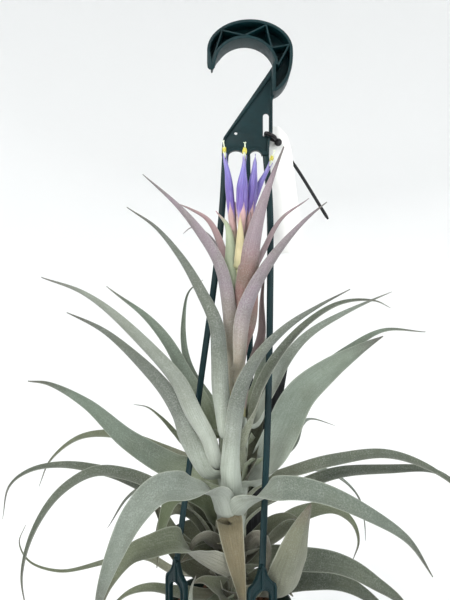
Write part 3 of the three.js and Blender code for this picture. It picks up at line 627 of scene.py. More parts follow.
def bark_look():
    """Bark chips: brown clouds crossed by dark fibres."""
    look = Look("bark", Specular_IOR_Level=0.25)
    place = look.place()
    clouds = look.noise(place, 160, 5, 0.65)
    fibre = look.noise(look.node("Mapping", {"Vector": place, "Scale": (1, 1, 5)}).outputs[0], 420, 4)
    browns = [(0.25, rgb(38, 26, 20)), (0.5, rgb(84, 58, 42)), (0.75, rgb(128, 98, 72))]
    tone = look.ramp(clouds, browns)
    tone = look.mix(look.span(fibre, 0.5, 0.7, 0, 0.5), tone, rgb(52, 36, 28))
    look.set(Base_Color=tone, Roughness=look.span(fibre, 0.3, 0.7, 0.8, 0.95),
             Normal=look.bump(look.math("ADD", clouds, fibre), 0.5))
    return look.material


def label_look():
    """Matte black strip with fine scratches along its length."""
    look = Look("label_black", Specular_IOR_Level=0.4)
    place = look.place()
    along = look.node("Mapping", {"Vector": place, "Rotation": (0, math.radians(-LABEL_LEAN), 0),
                                  "Scale": (1, 1, 0.04)}).outputs[0]
    lines = look.noise(along, 1300, 4, 0.7)
    look.set(Base_Color=look.mix(look.span(lines, 0.4, 0.7), rgb(22, 23, 26), rgb(58, 60, 64)),
             Roughness=look.span(lines, 0.3, 0.7, 0.45, 0.7), Normal=look.bump(lines, 0.1))
    return look.material


def card_look():
    """White card, faintly clouded and fibrous."""
    look = Look("card", Specular_IOR_Level=0.3)
    place = look.place()
    fibre = look.noise(place, 900, 5, 0.75)
    clouds = look.noise(place, 45, 3)
    tone = look.mix(look.span(clouds, 0.35, 0.7, 0, 0.6), rgb(243, 243, 240), rgb(232, 233, 231))
    look.set(Base_Color=tone, Roughness=look.span(fibre, 0.3, 0.7, 0.72, 0.9),
             Normal=look.bump(fibre, 0.04))
    return look.material


# The plant

def stem_rise(height):
    return max(0, (height - STEM_FOOT) / (STEM_TOP - STEM_FOOT))


def stem_centre(height):
    rise = stem_rise(height)
    return Vector((POT_X + STEM_LEAN[0] * rise ** 1.3, STEM_LEAN[1] * rise ** 1.6, height))


def stem_radius(height):
    rise = stem_rise(height)
    taper = (STEM_RADIUS - STEM_NECK) * smooth(rise, 0.45, 0.85)
    return STEM_RADIUS - taper + (STEM_HEAD - STEM_NECK) * smooth(rise, 0.93, 0.985)


SHEATH_WRAP = 3.3  # radians of the stem that a wide blade's sheath clasps
SHEATH_FLARE = 0.08  # how fast a sheath stands off the stem
SHEATH_THICK = 0.9
BLADE_THICK = 2.2
BRACT_THICK = 1.3
TIP_THICK = 0.35
EDGE_THICK = 0.22
ROOT_CURL = 2.3  # radians that a blade's section turns through at its root
LESS_CURL = 0.8  # how much flatter it is further on
TIP_CURL = 0.9  # how much more it rolls in towards its tip
WAVER = 0.9  # how far a blade strays from its route
RUFFLE = 0.5  # how far its edges rise and fall
BURIED = 10  # how far a sheath starts below its blade's root
DEFAULT_TURN = (0.06, 0.32, 0)
LATE_TURNS = {  # where a leaf turns over, and the share of its underside that shows before
    "leaf_front_left": (0.22, 0.45, 0.15),
    "leaf_left_low": (0.3, 0.52, 0.4),
    "leaf_front_right": (0.2, 0.42, 0.35),
}
BRACT_WAISTS = {"bract_right": 0.35, "bract_left": 0.2, "bract_back_dusky": 0.3}
LOOSE_SHEATHS = {"leaf_front_up": 0.55}  # leaves whose sheaths stand off faster


def blade_path(root, route, wave, flare):
    """A blade's centre line: up the stem inside its sheath, then along its route."""
    first = Vector(route[0])
    away = first - stem_centre(root)
    away.z = 0
    away.normalize()
    climb = min(8, max(2, (first.z - root) / 2))
    heights = (-BURIED, 0, climb)
    start = [stem_centre(root + d) + away * (stem_radius(root) + 0.4 + flare * (d - heights[0]))
             for d in heights]
    line = resample(catmull(start + [Vector(p) for p in route]), BLADE_STEPS)
    swing, lift = wave.uniform(0, 6.3), wave.uniform(0, 6.3)
    for i, point in enumerate(line):
        t = i / BLADE_STEPS
        reach = WAVER * smooth(t, 0.2, 0.6)
        point.y += reach * math.sin(swing + 9 * t)
        point.z += reach * math.sin(lift + 11 * t)
    return line, away


def blade_frames(line, away, show, turn):
    """Centre, sideways and facing directions. facing is the upper side's; show is the share by
    which the blade is twisted to the front, with its upper side or, below 0, its underside;
    turn tells over which part of its length it twists and what shows before."""
    bearing = line[int(0.6 * BLADE_STEPS)] - line[0]
    bearing.z = 0
    bearing.normalize()
    level, root_level = UP.cross(bearing).normalized(), UP.cross(away).normalized()
    front = Vector((0, -1, 0))
    low, high, before = turn
    frames = []
    for i, along in enumerate(tangents(line)):
        t = i / BLADE_STEPS
        side = root_level.lerp(level, min(1, t / 0.3))
        side = (side - along * side.dot(along)).normalized()
        upper = along.cross(side)
        share = lerp(-before * smooth(t, 0.03, 0.15), show, smooth(t, low, high))
        facing = upper * (1 - abs(share)) + (front - along * front.dot(along)) * share
        facing.normalize()
        frames.append((line[i], facing.cross(along), facing))
    return frames


def blade_ring(centre, across, facing, width, wrap, thick, bow, ruffle, level):
    """One curled section: its upper side from left to right, then its underside back. bow is 1
    for a round channel and less for one that is creased along its middle. level is 0 with the
    middle of the channel's floor on the line and 1 with the whole section about the line."""
    right, x, y, last_s = [], 0, 0, 0
    half_columns = BLADE_COLUMNS // 2
    for column in range(1, half_columns + 1):
        s = math.sin(math.pi / 2 * column / half_columns)
        turn = wrap / 2 * ((s + last_s) / 2) ** bow
        x += width / 2 * (s - last_s) * math.cos(turn)
        y += width / 2 * (s - last_s) * math.sin(turn)
        right.append((s, x, y, wrap / 2 * s ** bow))
        last_s = s
    section = [(-s, -x, y, -turn) for s, x, y, turn in reversed(right)] + [(0, 0, 0, 0)] + right
    centre = centre - facing * (0.5 * y * level)
    upper, under = [], []
    edge = min(EDGE_THICK, thick / 2)
    for s, x, y, turn in section:
        half = 0 if abs(s) > 0.999 else (edge + (thick - edge) * (1 - abs(s) ** 2.4)) / 2
        normal = facing * math.cos(turn) - across * math.sin(turn)
        middle = centre + across * x + facing * (y + ruffle * s * abs(s))
        upper.append(middle + normal * half)
        under.append(middle - normal * half)
    return upper + under[-2:0:-1]


def blade_around():
    """Where the ring's points lie across the blade, 0 to 1 above and 1 to 2 beneath."""
    places = [math.sin(math.pi / 2 * (2 * c / BLADE_COLUMNS - 1)) / 2 + 0.5
              for c in range(BLADE_COLUMNS + 1)]
    return places + [2 - place for place in places[-2::-1]]


def blade_skin(shape, name, root, width, show, taper, route, thick=BLADE_THICK, waist=0):
    """A leaf or bract: a clasping sheath, a channelled blade and a fine inrolled tip. waist is
    the share by which it is narrower at its root."""
    wave = random.Random(name)
    line, away = blade_path(root, route, wave, LOOSE_SHEATHS.get(name, SHEATH_FLARE))
    ruffle_turn = wave.uniform(0, 6.3)
    rings = []
    frames = blade_frames(line, away, show, LATE_TURNS.get(name, DEFAULT_TURN))
    for i, (centre, across, facing) in enumerate(frames):
        t = i / BLADE_STEPS
        axis = stem_centre(min(centre.z, STEM_TOP))
        stand = math.hypot(centre.x - axis.x, centre.y - axis.y)
        clasp = 1 - smooth(stand - stem_radius(root), 0.6, 4.5)
        sheath = (width + stand * SHEATH_WRAP) / 2
        wrap = ROOT_CURL - LESS_CURL * smooth(t, 0.1, 0.5) + TIP_CURL * smooth(t, 0.6, 1)
        here = lerp(width * (1.02 - 0.99 * t ** taper), sheath, clasp)
        here *= 1 - waist * (1 - smooth(t, 0.1, 0.45))
        depth = lerp(lerp(thick, TIP_THICK, t ** 0.8), SHEATH_THICK, clasp)
        ruffle = RUFFLE * math.sin(ruffle_turn + 17 * t) * smooth(t, 0.1, 0.3) * (1 - t)
        rings.append(blade_ring(centre, across, facing, here, lerp(wrap, sheath / stand, clasp),
                                min(depth, here * 0.7), lerp(0.6, 1, clasp), ruffle, 1 - clasp))
    skin(shape, rings, around=blade_around())


def make_blade(name, slot, root, *form):
    shape = Shape()
    blade_skin(shape, name, root, *form)
    shape.build(name + "_blade", slot, [name], looks=[OWN_LOOKS.get(name, slot)])


def make_old_bases():
    shape = Shape()
    for order, (root, *form) in enumerate(OLD_BASES):
        blade_skin(shape, "old_base_%d" % order, root, *form)
    shape.build("old_leaf_bases", "leaf_olive", looks=["old_base"])


def make_stem():
    """The stem, ringed by the scars of old sheaths."""
    shape, rings, sides = Shape(), [], 32
    for step in range(STEM_STEPS + 1):
        height = lerp(STEM_FOOT, STEM_TOP, step / STEM_STEPS)
        centre, radius = stem_centre(height), stem_radius(height)
        ring = []
        for side in range(sides):
            turn = -2 * math.pi * side / sides
            scar = 0.22 * math.sin(2 * math.pi * height / LEAF_SPACING + 2 * turn)
            grain = 0.1 * math.sin(7 * turn + height)
            reach = radius - 0.35 + scar + grain
            ring.append(centre + Vector((reach * math.cos(turn), reach * math.sin(turn), 0)))
        rings.append(ring)
    skin(shape, rings)
    shape.build("stem_axis", "stem_green", ["stem"])


# Flowers

PETAL_COLUMNS = 7
FLOWER_STEPS = 75
TUBE_FOOT = 1.35  # the petal tube's radius at its foot
TUBE_END = 0.9  # where the petals end on an open flower's axis; its anthers stand beyond
CLOSING = 1.6  # by how much a closed flower's mouth is narrower
SEPAL_SHARE = 0.5  # of the petals' length
STAMENS = 6
FLOWER_LOOKS = ("petal_violet", "sepal", "anther", "style")


def steady_frames(line):
    ahead = tangents(line)
    side = Vector((1, 0, 0))
    frames = []
    for centre, along in zip(line, ahead):
        side = (side - along * side.dot(along)).normalized()
        frames.append((centre, side, along.cross(side)))
    return frames


def rolled(shape, frames, radius_at, half_at, heading, spiral, thick, slot):
    """A petal or sepal: a rolled strip round the flower's axis."""
    rings, last = [], len(frames) - 1
    for i, (centre, side, other) in enumerate(frames):
        t = i / last
        outer, inner = [], []
        for column in range(PETAL_COLUMNS + 1):
            s = 2 * column / PETAL_COLUMNS - 1
            turn = heading + spiral * t - s * half_at(t)
            edge = thick / 2 * (1 - 0.8 * s * s) if abs(s) < 1 else 0
            radius = radius_at(t) * (1 + 0.09 * s)
            out = side * math.cos(turn) + other * math.sin(turn)
            outer.append(centre + out * (radius + edge))
            inner.append(centre + out * (radius - edge))
        rings.append(outer + inner[-2:0:-1])
    skin(shape, rings, slot)


def tube_radius(t, stout):
    body = TUBE_FOOT + (stout - TUBE_FOOT) * smooth(t, 0.12, 0.5)
    return body - (stout - 1.15) * smooth(t, 0.62, 0.93) + 0.25 * smooth(t, 0.93, 1)


def anther(shape, centre, heading, slot):
    line = [centre + heading * (3.4 * (step / 8 - 0.5)) for step in range(9)]
    tube(shape, line, lambda t: 0.12 + 0.5 * math.sin(math.pi * t) ** 0.6, 8, slot, 0.7)


def add_petals(shape, frames, stout, closing, start):
    """Three rolled petals, with three sepals round their lower half."""
    sepal = frames[:int(SEPAL_SHARE * len(frames))]
    for petal in range(3):
        heading = start + petal * 2 * math.pi / 3
        rolled(shape, frames, lambda t: tube_radius(t, stout) - closing * smooth(t, 0.9, 1),
               lambda t: 1.25 * (1 - smooth(t, 0.86, 1.02)) + 0.06, heading, 0.7, 0.45, 0)
        rolled(shape, sepal, lambda t: tube_radius(t * SEPAL_SHARE, stout) + 0.75 - 0.2 * t,
               lambda t: 1.15 * (1 - smooth(t, 0.45, 1.02)) + 0.05, heading + 1, 0.2, 0.5, 1)


def spokes(ahead, turns):
    """Directions square to ahead, at these angles."""
    side = ahead.orthogonal().normalized()
    other = ahead.cross(side)
    return [side * math.cos(turn) + other * math.sin(turn) for turn in turns]


def add_stamen(shape, mouth, ahead, number, chance):
    out, = spokes(ahead, [2 * math.pi * (number + chance.uniform(-0.2, 0.2)) / STAMENS])
    reach = chance.uniform(0.8, 3)
    tip = mouth + ahead * (reach + 2) + out * chance.uniform(0.5, 1.1)
    line = curve_through([mouth + out * 0.4, mouth + ahead * 2 + out * 0.7, tip], 10)
    tube(shape, line, lambda t: 0.2, 6, 3)
    lean = (ahead + out * chance.uniform(0, 0.2)).normalized()
    anther(shape, tip + lean * 1.2, lean, 2)


def add_style(shape, mouth, ahead, end):
    """The style, ending in a stigma of three lobes."""
    side, *lobes = spokes(ahead, [0, 0, 2 * math.pi / 3, 4 * math.pi / 3])
    line = curve_through([mouth, mouth + ahead * 6 + side * 0.3, end], 14)
    tube(shape, line, lambda t: 0.28 + 0.1 * t, 8, 3)
    for out in lobes:
        line = curve_through([end, end + ahead * 0.7 + out * 0.4, end + ahead + out * 1.1], 6)
        tube(shape, line, lambda t: 0.34 - 0.14 * t, 6, 3)


def make_flower(name, stout, open_mouth, points):
    """Three rolled petals in three sepals, with six stamens and a style beyond the mouth."""
    chance = random.Random(name)
    shape = Shape()
    axis = curve_through(points, FLOWER_STEPS)
    petal_line = axis[:int((TUBE_END if open_mouth else 1) * FLOWER_STEPS) + 1]
    closing = 0 if open_mouth else CLOSING
    add_petals(shape, steady_frames(petal_line), stout, closing, chance.uniform(0, 6.3))
    if open_mouth:
        mouth, ahead = petal_line[-4], tangents(axis)[-8]
        for number in range(STAMENS):
            add_stamen(shape, mouth, ahead, number, chance)
        add_style(shape, mouth, ahead, axis[-1])
    shape.build(name + "_bloom", "petal_violet", [name], looks=FLOWER_LOOKS)


# The hanger

def bend(start, control, end):
    """Points on a quadratic curve."""
    made = []
    for step in range(BEND_STEPS + 1):
        t = step / BEND_STEPS
        made.append(tuple(lerp(lerp(a, b, t), lerp(b, c, t), t)
                          for a, b, c in zip(start, control, end)))
    return made


def without_repeats(ring):
    return [p for p, q in zip(ring, ring[1:] + ring[:1]) if math.dist(p, q) > 0.05]


def band_outline():
    cx, cz, wide, tall = HOOK
    x, z, across, up = THROAT
    ring = [(-24.4, -18), (-26.6, -18), (-27.8, -16.8), (cx - wide, -14.6)]
    ring += arc(cx, cz, wide, tall, 180, 0, 70)
    ring += bend((cx + wide, cz), (30.6, -20), (27, -27))
    ring += bend((27, -27), (24, -33.5), (18.6, -36))
    ring += [(16.2, -36), (16.2, -18)]
    ring += arc(x, z, across, up, 14.3, 170, 50)
    return without_repeats(ring)


def band_pocket(grow):
    """The recess in the hook's curved band; grow widens it."""
    cx, cz, wide, tall = HOOK
    x, z, across, up = THROAT
    inset = RIM_WIDTH - grow
    ring = arc(cx, cz, wide - inset, tall - inset, 178, 0, 60)
    ring += bend((cx + wide - inset, cz), (28.4 + grow, -19.6), (25.2 + grow, -26 - grow))
    ring += bend((25.2 + grow, -26 - grow), (22.8 + grow, -31), (18.6 - grow, -33.4 - grow))
    ring += [(18.6 - grow, -18)]
    ring += arc(x, z, across + inset, up + inset, 5.7, 165.6, 50)
    return without_repeats(ring)


def plate_outline():
    ring = [(17.2, -14.8), (18.6, -36)]
    ring += bend((18.6, -36), (17.2, -37.4), (17.2, -40))
    ring += bend((17.2, -61.6), (14.7, -66), (14.7, PLATE_FOOT))
    ring += [(10.5, PLATE_FOOT)]
    ring += arc(5.5, PLATE_FOOT, 4, 3.4, 0, 180, 20)
    ring += arc(-8.2, PLATE_FOOT, 5.2, 3.4, 0, 180, 20)
    ring += bend((-18.3, PLATE_FOOT), (-18.2, -68), (-16.8, -64.4))
    ring += [(14.5, -19)]
    return without_repeats(ring)


def plate_pocket(grow):
    """The recess in the plate; its lower edge runs over the two arches."""
    floor, lip = PLATE_FOOT + 2.5, 1.6 - grow
    ring = [(15.9 + grow, -22.5 + 1.6 * grow), (15.8 + grow, -61.2)]
    ring += [(13.5 + grow, -67), (13.3 + grow, floor)]
    ring += arc(5.5, PLATE_FOOT, 4 + lip, 3.4 + lip, 30, 150, 14)
    ring += arc(-8.2, PLATE_FOOT, 5.2 + lip, 3.4 + lip, 30, 150, 14)
    ring += [(-16.9 - grow, floor), (-16.2 - grow, -67), (-15.1 - grow, -64.4)]
    return ring


def slot_ring():
    return [(10.5, -63.7), (14.7, -63.7), *arc(12.6, -49.7, 2.1, 2.1, 0, 180, 12)]


def zigzag_ribs():
    """Bars that run to and fro between the band's two raised edges."""
    ends = []
    for step, bearing in enumerate(RIB_BEARINGS):
        x, z, across, up = HOOK if step % 2 else THROAT
        inset = -RIM_WIDTH if step % 2 else RIM_WIDTH
        turn = math.radians(bearing)
        ends.append((x + (across + inset) * math.cos(turn), z + (up + inset) * math.sin(turn)))
    ribs = []
    for (ax, az), (bx, bz) in zip(ends, ends[1:]):
        length = math.dist((ax, az), (bx, bz))
        ux, uz = (bx - ax) / length, (bz - az) / length
        nx, nz = -uz * RIB_THICKNESS / 2, ux * RIB_THICKNESS / 2
        ax, az, bx, bz = ax - 0.8 * ux, az - 0.8 * uz, bx + 0.8 * ux, bz + 0.8 * uz
        ribs.append([(ax + nx, az + nz), (bx + nx, bz + nz), (bx - nx, bz - nz), (ax - nx, az - nz)])
    return ribs


TIP_SLANT = (-15, 0.4)  # left of this x, the hook's tip ends lower in front than behind


def make_hook():
    """A deep curved band, recessed on both faces and ribbed, over a thin recessed plate."""
    shape = Shape()
    middle = Vector((0, (BAND_FRONT + BAND_BACK) / 2, 0))
    depth = BAND_BACK - BAND_FRONT
    points, faces = flat_solid([band_outline(), band_pocket(0)], depth, 0.4)
    for point in points:
        if point.x < TIP_SLANT[0]:
            point.z += TIP_SLANT[1] * (point.y - 1) * smooth(-point.z, 8, 17)
    shape.add([point + middle for point in points], faces)
    for rib in zigzag_ribs():
        points, faces = flat_solid([rib], depth - 0.6, 0.25)
        shape.add([point + middle for point in points], faces)
    shape.add(*flat_solid([band_pocket(0.7)], BAND_WEB, 0.1))
    shape.add(*flat_solid([plate_outline(), plate_pocket(0)], PLATE_DEPTH, 0.4))
    hole = arc(-8.4, -61.6, 1.1, 1.1, 0, 345, 23)
    shape.add(*flat_solid([plate_pocket(0.7), slot_ring(), hole], 2.2, 0.2))
    shape.build("hanger_hook_moulding", "hanger_green", ["hanger_hook"], HARD)


def around_pot(bearing, radius):
    turn = math.radians(bearing)
    return POT_X + radius * math.cos(turn), radius * math.sin(turn)


STRAND_ROUTES = {
    "left": [[-15.8, 0, PLATE_FOOT], [-18.2, -1, -117], [-23, -4, -163], [-31.8, -6, -227],
             [-36.4, -6, -262], [-39.3, -8, -283], [-41.8, -15, -304], [-44.2, -23, -323]],
    "middle": [[-0.6, 0, PLATE_FOOT], [1, 7, -145], [2, 15, -212], [2, 25, -289]],
    "right": [[12.6, 0, PLATE_FOOT], [15, -4, -111], [14.5, -12, -185], [12.2, -19, -267],
              [10.3, -24, -303], [9.2, -30, -323]],
}


def eye_outline(inset):
    half, top, foot = EYE_WIDE / 2 - inset, EYE_TOP - 0.6 * inset, EYE_FOOT + inset
    neck = STRAND_WIDE / 2 - 0.6 * inset
    right = bend((half - 5, foot), (half, foot), (half, foot + 4))
    right += bend((half, top - 2), (half, top + 1), (half - 1, top + 3))
    right += bend((half - 1, top + 3), (neck + 0.7, EYE_NECK - 7), (neck, EYE_NECK))
    return without_repeats(right + [(-x, z) for x, z in reversed(right)])


def eye_hole(grow):
    half, sill = EYE_OPEN / 2 + grow, EYE_SILL - grow
    return [(-half, sill), (half, sill), *arc(0, EYE_TOP - 5, half, 5 + grow, 0, 180, 16)]


def eye_solids():
    """The eye's plate, its raised rim, the lip round its opening and its upright ridge."""
    ridge = [(-0.9, EYE_NECK + 2), (0.9, EYE_NECK + 2), (1.3, EYE_TOP + 1), (-1.3, EYE_TOP + 1)]
    return (flat_solid([eye_outline(0), eye_hole(0)], EYE_THICK - 0.6, 0.4),
            flat_solid([eye_outline(0), eye_outline(1.5)], EYE_THICK + 0.9, 0.4),
            flat_solid([eye_hole(1.5), eye_hole(0)], EYE_THICK + 0.7, 0.4),
            flat_solid([ridge], EYE_THICK + 1.1, 0.4))


def strand_section():
    """Across and through: an oblong with rounded corners and a low ridge on either face."""
    section = []
    for step in range(STRAND_SIDES):
        at = -2 * math.pi * step / STRAND_SIDES
        c, s = math.cos(at), math.sin(at)
        ridge = STRAND_RIDGE * max(0, abs(s) - 0.75)
        section.append((math.copysign(abs(c) ** 0.6, c) * STRAND_WIDE / 2,
                        math.copysign(abs(s) ** 0.85 * STRAND_THICK / 2 + ridge, s)))
    return section


def make_strand(side):
    """A strand from the plate's foot, turning to face its eye on the pot's side."""
    bearing = EYE_BEARINGS[side]
    x, y = around_pot(bearing, EYE_RADIUS)
    line = curve_through([*STRAND_ROUTES[side], [x, y, EYE_NECK - 3]], STRAND_STEPS)
    turn = math.radians((bearing + 90 + 540) % 360 - 180)
    if abs(turn) > math.pi / 2:
        turn -= math.copysign(math.pi, turn)
    rings = []
    for i, middle in enumerate(line):
        angle = turn * i / STRAND_STEPS
        across = Vector((math.cos(angle), math.sin(angle), 0))
        through = Vector((-math.sin(angle), math.cos(angle), 0))
        rings.append([middle + across * u + through * v for u, v in strand_section()])
    shape = Shape()
    skin(shape, rings)
    foot = Vector((x, y, 0))
    for points, faces in eye_solids():
        shape.add([foot + Vector((*rotated(px, py, math.radians(bearing + 90)), pz))
                   for px, py, pz in points], faces)
    node = "hanger_strand_" + side
    shape.build(node + "_moulding", "hanger_green", [node], HARD)


# Pot and growing medium

def block(shape, size, centre, turn):
    """A box with rounded edges, turned about +Z."""
    made = bmesh.new()
    bmesh.ops.create_cube(made, size=1)
    for vertex in made.verts:
        vertex.co = [c * s for c, s in zip(vertex.co, size)]
    bmesh.ops.bevel(made, geom=made.edges[:], offset=0.4, segments=3, affect="EDGES", profile=0.5)
    points = [Vector(centre) + Vector((*rotated(v.co.x, v.co.y, turn), v.co.z)) for v in made.verts]
    shape.add(points, faces_of(made))
    made.free()


DRAIN_HOLES = 4
DRAIN_RADIUS = 3
DRAIN_RING = 14  # from the pot's axis to a hole's


def pot_profile():
    """The pot's section from axis to axis: foot, wall, rim and inside."""
    rim, top, foot, heel = POT_RIM, POT_TOP, POT_FOOT, POT_FOOT_RADIUS
    wall = [(lerp(heel, rim - 1.8, step / 24), lerp(foot + 1.2, top - 6.4, step / 24))
            for step in range(25)]
    return [(0, foot + 0.8), (heel - 4, foot + 0.8), (heel - 3.4, foot), (heel - 1, foot),
            (heel - 0.2, foot + 0.4), *wall,
            (rim - 1.1, top - 6.1), (rim - 0.3, top - 6), (rim, top - 5.5), (rim, top - 0.7),
            (rim - 0.3, top - 0.15), (rim - 1, top), (rim - 1.7, top - 0.3), (rim - 2, top - 1.2),
            (rim - 3.3, top - 6.5), (heel - 1.5, foot + 2.6), (heel - 2.6, foot + 2.1),
            (0, foot + 2.1)]


def drill(pot):
    """Drain holes through the pot's floor."""
    plugs = Shape()
    low, high = POT_FOOT - 3, POT_FOOT + 5
    for hole in range(DRAIN_HOLES):
        centre = around_pot(45 + 360 / DRAIN_HOLES * hole, DRAIN_RING)
        turned(plugs, [(0, low), (DRAIN_RADIUS, low), (DRAIN_RADIUS, high), (0, high)], centre, 24)
    cut = plugs.build("pot_holes", "pot_green")
    tool = pot.modifiers.new("drain", "BOOLEAN")
    tool.operation = "DIFFERENCE"
    tool.object = cut
    held = shaped_mesh(pot)
    pot.modifiers.clear()
    pot.data = held
    held.set_sharp_from_angle(angle=math.radians(HARD))
    bpy.data.objects.remove(cut)


def make_lugs():
    """The lugs under the pot's rim that the eyes hook over."""
    lugs = Shape()
    floor = EYE_SILL + 0.3
    for bearing in EYE_BEARINGS.values():
        turn = math.radians(bearing)
        block(lugs, (6.6, 8, 2.7), (*around_pot(bearing, POT_RIM + 2.3), floor + 1.35), turn)
        block(lugs, (1.4, 8, 4.9), (*around_pot(bearing, POT_RIM + 4.9), floor + 2.45), turn)
    lugs.build("pot_lugs", "pot_green", (), HARD)


def make_pot():
    shape = Shape()
    turned(shape, pot_profile(), (POT_X, 0), 96)
    drill(shape.build("pot_shell", "pot_green", ["pot"], HARD))
    make_lugs()


CHIPS = 370
CLEAR_OF_STEM = 11


def chip_ball():
    """A coarse ball's points and faces, which each chip stretches and roughens."""
    lump = bmesh.new()
    bmesh.ops.create_icosphere(lump, subdivisions=2, radius=1)
    ball, faces = [v.co.copy() for v in lump.verts], faces_of(lump)
    lump.free()
    return ball, faces


def chip_points(ball, size, centre, spin, tip, chance):
    points = []
    for corner in ball:
        rough = 1 + chance.uniform(-0.13, 0.13)
        x, y, z = (c * s * rough for c, s in zip(corner, size))
        x, z = rotated(x, z, tip)
        points.append(centre + Vector((*rotated(x, y, spin), z)))
    return points


def make_medium():
    """Bark: a rough core with loose chips on top, round the stem and the label."""
    chance = random.Random(5)
    shape = Shape()
    foot = POT_FOOT + 2.4
    turned(shape, [(0, foot), (POT_FOOT_RADIUS - 1.9, foot), (POT_RIM - 4.2, MEDIUM_TOP - 4),
                   (POT_RIM - 6, MEDIUM_TOP - 2), (12, MEDIUM_TOP - 1.2), (0, MEDIUM_TOP - 1.2)],
           (POT_X, 0), 48)
    ball, faces = chip_ball()
    made = 0
    while made < CHIPS:
        radius = (POT_RIM - 4.8) * math.sqrt(chance.random())
        turn = chance.uniform(0, 2 * math.pi)
        size = Vector((chance.uniform(2, 4.6), chance.uniform(1.5, 3), chance.uniform(0.8, 1.7)))
        if radius < CLEAR_OF_STEM + size.x * 0.5 or radius + size.x > POT_RIM - 3:
            continue
        made += 1
        spin, tip = chance.uniform(0, 6.3), chance.uniform(-0.5, 0.5)
        centre = Vector((POT_X + radius * math.cos(turn), radius * math.sin(turn),
                         MEDIUM_TOP + chance.uniform(-1.6, 1.5)))
        shape.add(chip_points(ball, size, centre, spin, tip, chance), faces)
    shape.build("bark_medium", "medium_brown", ["growing_medium"], 50)


# Label, tag and pin

LABEL_FOOT = (-8.5, 20, -412)
LABEL_HALF = 7.5  # half its width
LABEL_POINT = 16  # height of its pointed foot
LABEL_LONG = 196
LABEL_THICK = 0.9
LABEL_CORNER = 2
LABEL_LEAN = 9.8  # degrees to the right
LABEL_BACK = 2  # degrees away from the viewer


def make_label():
    half, shoulder, corner = LABEL_HALF, LABEL_LONG - LABEL_CORNER, LABEL_CORNER
    ring = [(0, 0), (half, LABEL_POINT), (half, shoulder - 1),
            *arc(half - corner, shoulder, corner, corner, 0, 90, 6),
            *arc(corner - half, shoulder, corner, corner, 90, 180, 6),
            (-half, shoulder - 1), (-half, LABEL_POINT)]
    points, faces = flat_solid([without_repeats(ring)], LABEL_THICK, 0.2)
    lean, back = math.radians(LABEL_LEAN), math.radians(-LABEL_BACK)
    placed = []
    for x, y, z in points:
        y, z = rotated(y, z, back)
        z, x = rotated(z, x, lean)
        placed.append((x + LABEL_FOOT[0], y + LABEL_FOOT[1], z + LABEL_FOOT[2]))
    shape = Shape()
    shape.add(placed, faces)
    shape.build("plant_label_strip", "plastic_black", ["plant_label"], HARD, ["label_black"])


TAG_HOLE = (20.5, -66)
TAG_TOP = 11
TAG_FOOT = -79
TAG_HALF = 10  # half its width
TAG_THICK = 0.6
TAG_BACK = 6.1  # how far behind the plate's middle it hangs
TAG_BOW = 1.1
TAG_FOLD = 5  # from one cut that lets it bow to the next
TAG_LEAN = 7  # degrees to the left


def make_tag():
    """A card with cut corners, bowed a little along its length."""
    half, shoulder = TAG_HALF, -7
    ring = [(3, TAG_TOP), (8, 4), (half, shoulder), (half, TAG_FOOT), (-half, TAG_FOOT),
            (-half, shoulder), (-8, 4), (-3, TAG_TOP)]
    points, faces = flat_solid([ring, arc(0, 0, 1.5, 1.5, 0, 345, 23)], TAG_THICK, 0.12)
    made = bmesh.new()
    verts = [made.verts.new(p) for p in points]
    for face in faces:
        made.faces.new([verts[i] for i in face])
    for height in range(TAG_TOP - TAG_FOLD, TAG_FOOT, -TAG_FOLD):
        everything = made.verts[:] + made.edges[:] + made.faces[:]
        bmesh.ops.bisect_plane(made, geom=everything, plane_co=(0, 0, height), plane_no=(0, 0, 1))
    lean = math.radians(-TAG_LEAN)
    placed = []
    for vertex in made.verts:
        x, y, z = vertex.co
        y += TAG_BOW * math.sin(max(0, 4 - z) / 26)
        z, x = rotated(z, x, lean)
        placed.append((TAG_HOLE[0] + x, y + TAG_BACK, TAG_HOLE[1] + z))
    shape = Shape()
    shape.add(placed, faces_of(made))
    made.free()
    shape.build("tag_card", "card_white", ["tag"], HARD)


PIN_LOOP = 1.35  # radii of the pin's loop, tail and head
PIN_TAIL = 1.2
PIN_HEAD = 2.6


def make_pin():
    """A loop through the plate's slot, a straight tail through the tag and a round head."""
    x, z = TAG_HOLE
    shape = Shape()
    loop = [[x, 2.3, z], [17.5, -3.9, -64.4], [12.6, -4.1, -62.4], [12.6, 0, -62.4],
            [12.6, 3.8, -62.6], [17.5, 3.7, -64.6], [x, 2.3, z]]
    tube(shape, curve_through(loop, 70), lambda t: PIN_LOOP, 12)
    tail = [[x, 2.3, z], [x, 7, z], [x + 2.8, 9.2, z - 3.4], [x + 11.5, 9.4, z - 13], [58, 10, -120]]
    tube(shape, curve_through(tail, 70), lambda t: PIN_TAIL - 0.5 * smooth(t, 0.96, 1), 12, 0, 0.8)
    ball = [Vector((x + 0.9, 2.3 + PIN_HEAD * (step / 12 - 1), z - 1)) for step in range(25)]
    tube(shape, ball, lambda t: 0.1 + PIN_HEAD * math.sqrt(max(0, 1 - (2 * t - 1) ** 2)), 24)
    shape.build("tag_pin_tie", "plastic_black", ["tag_pin"], 50)


# Studio

FLOOR = -470
FLOOR_RADIUS = 900
WALL_BEND = 900  # radius of the curve from floor to wall
WALL_TOP = 2600
DAYLIGHT = (0.97, 0.98, 1, 1)


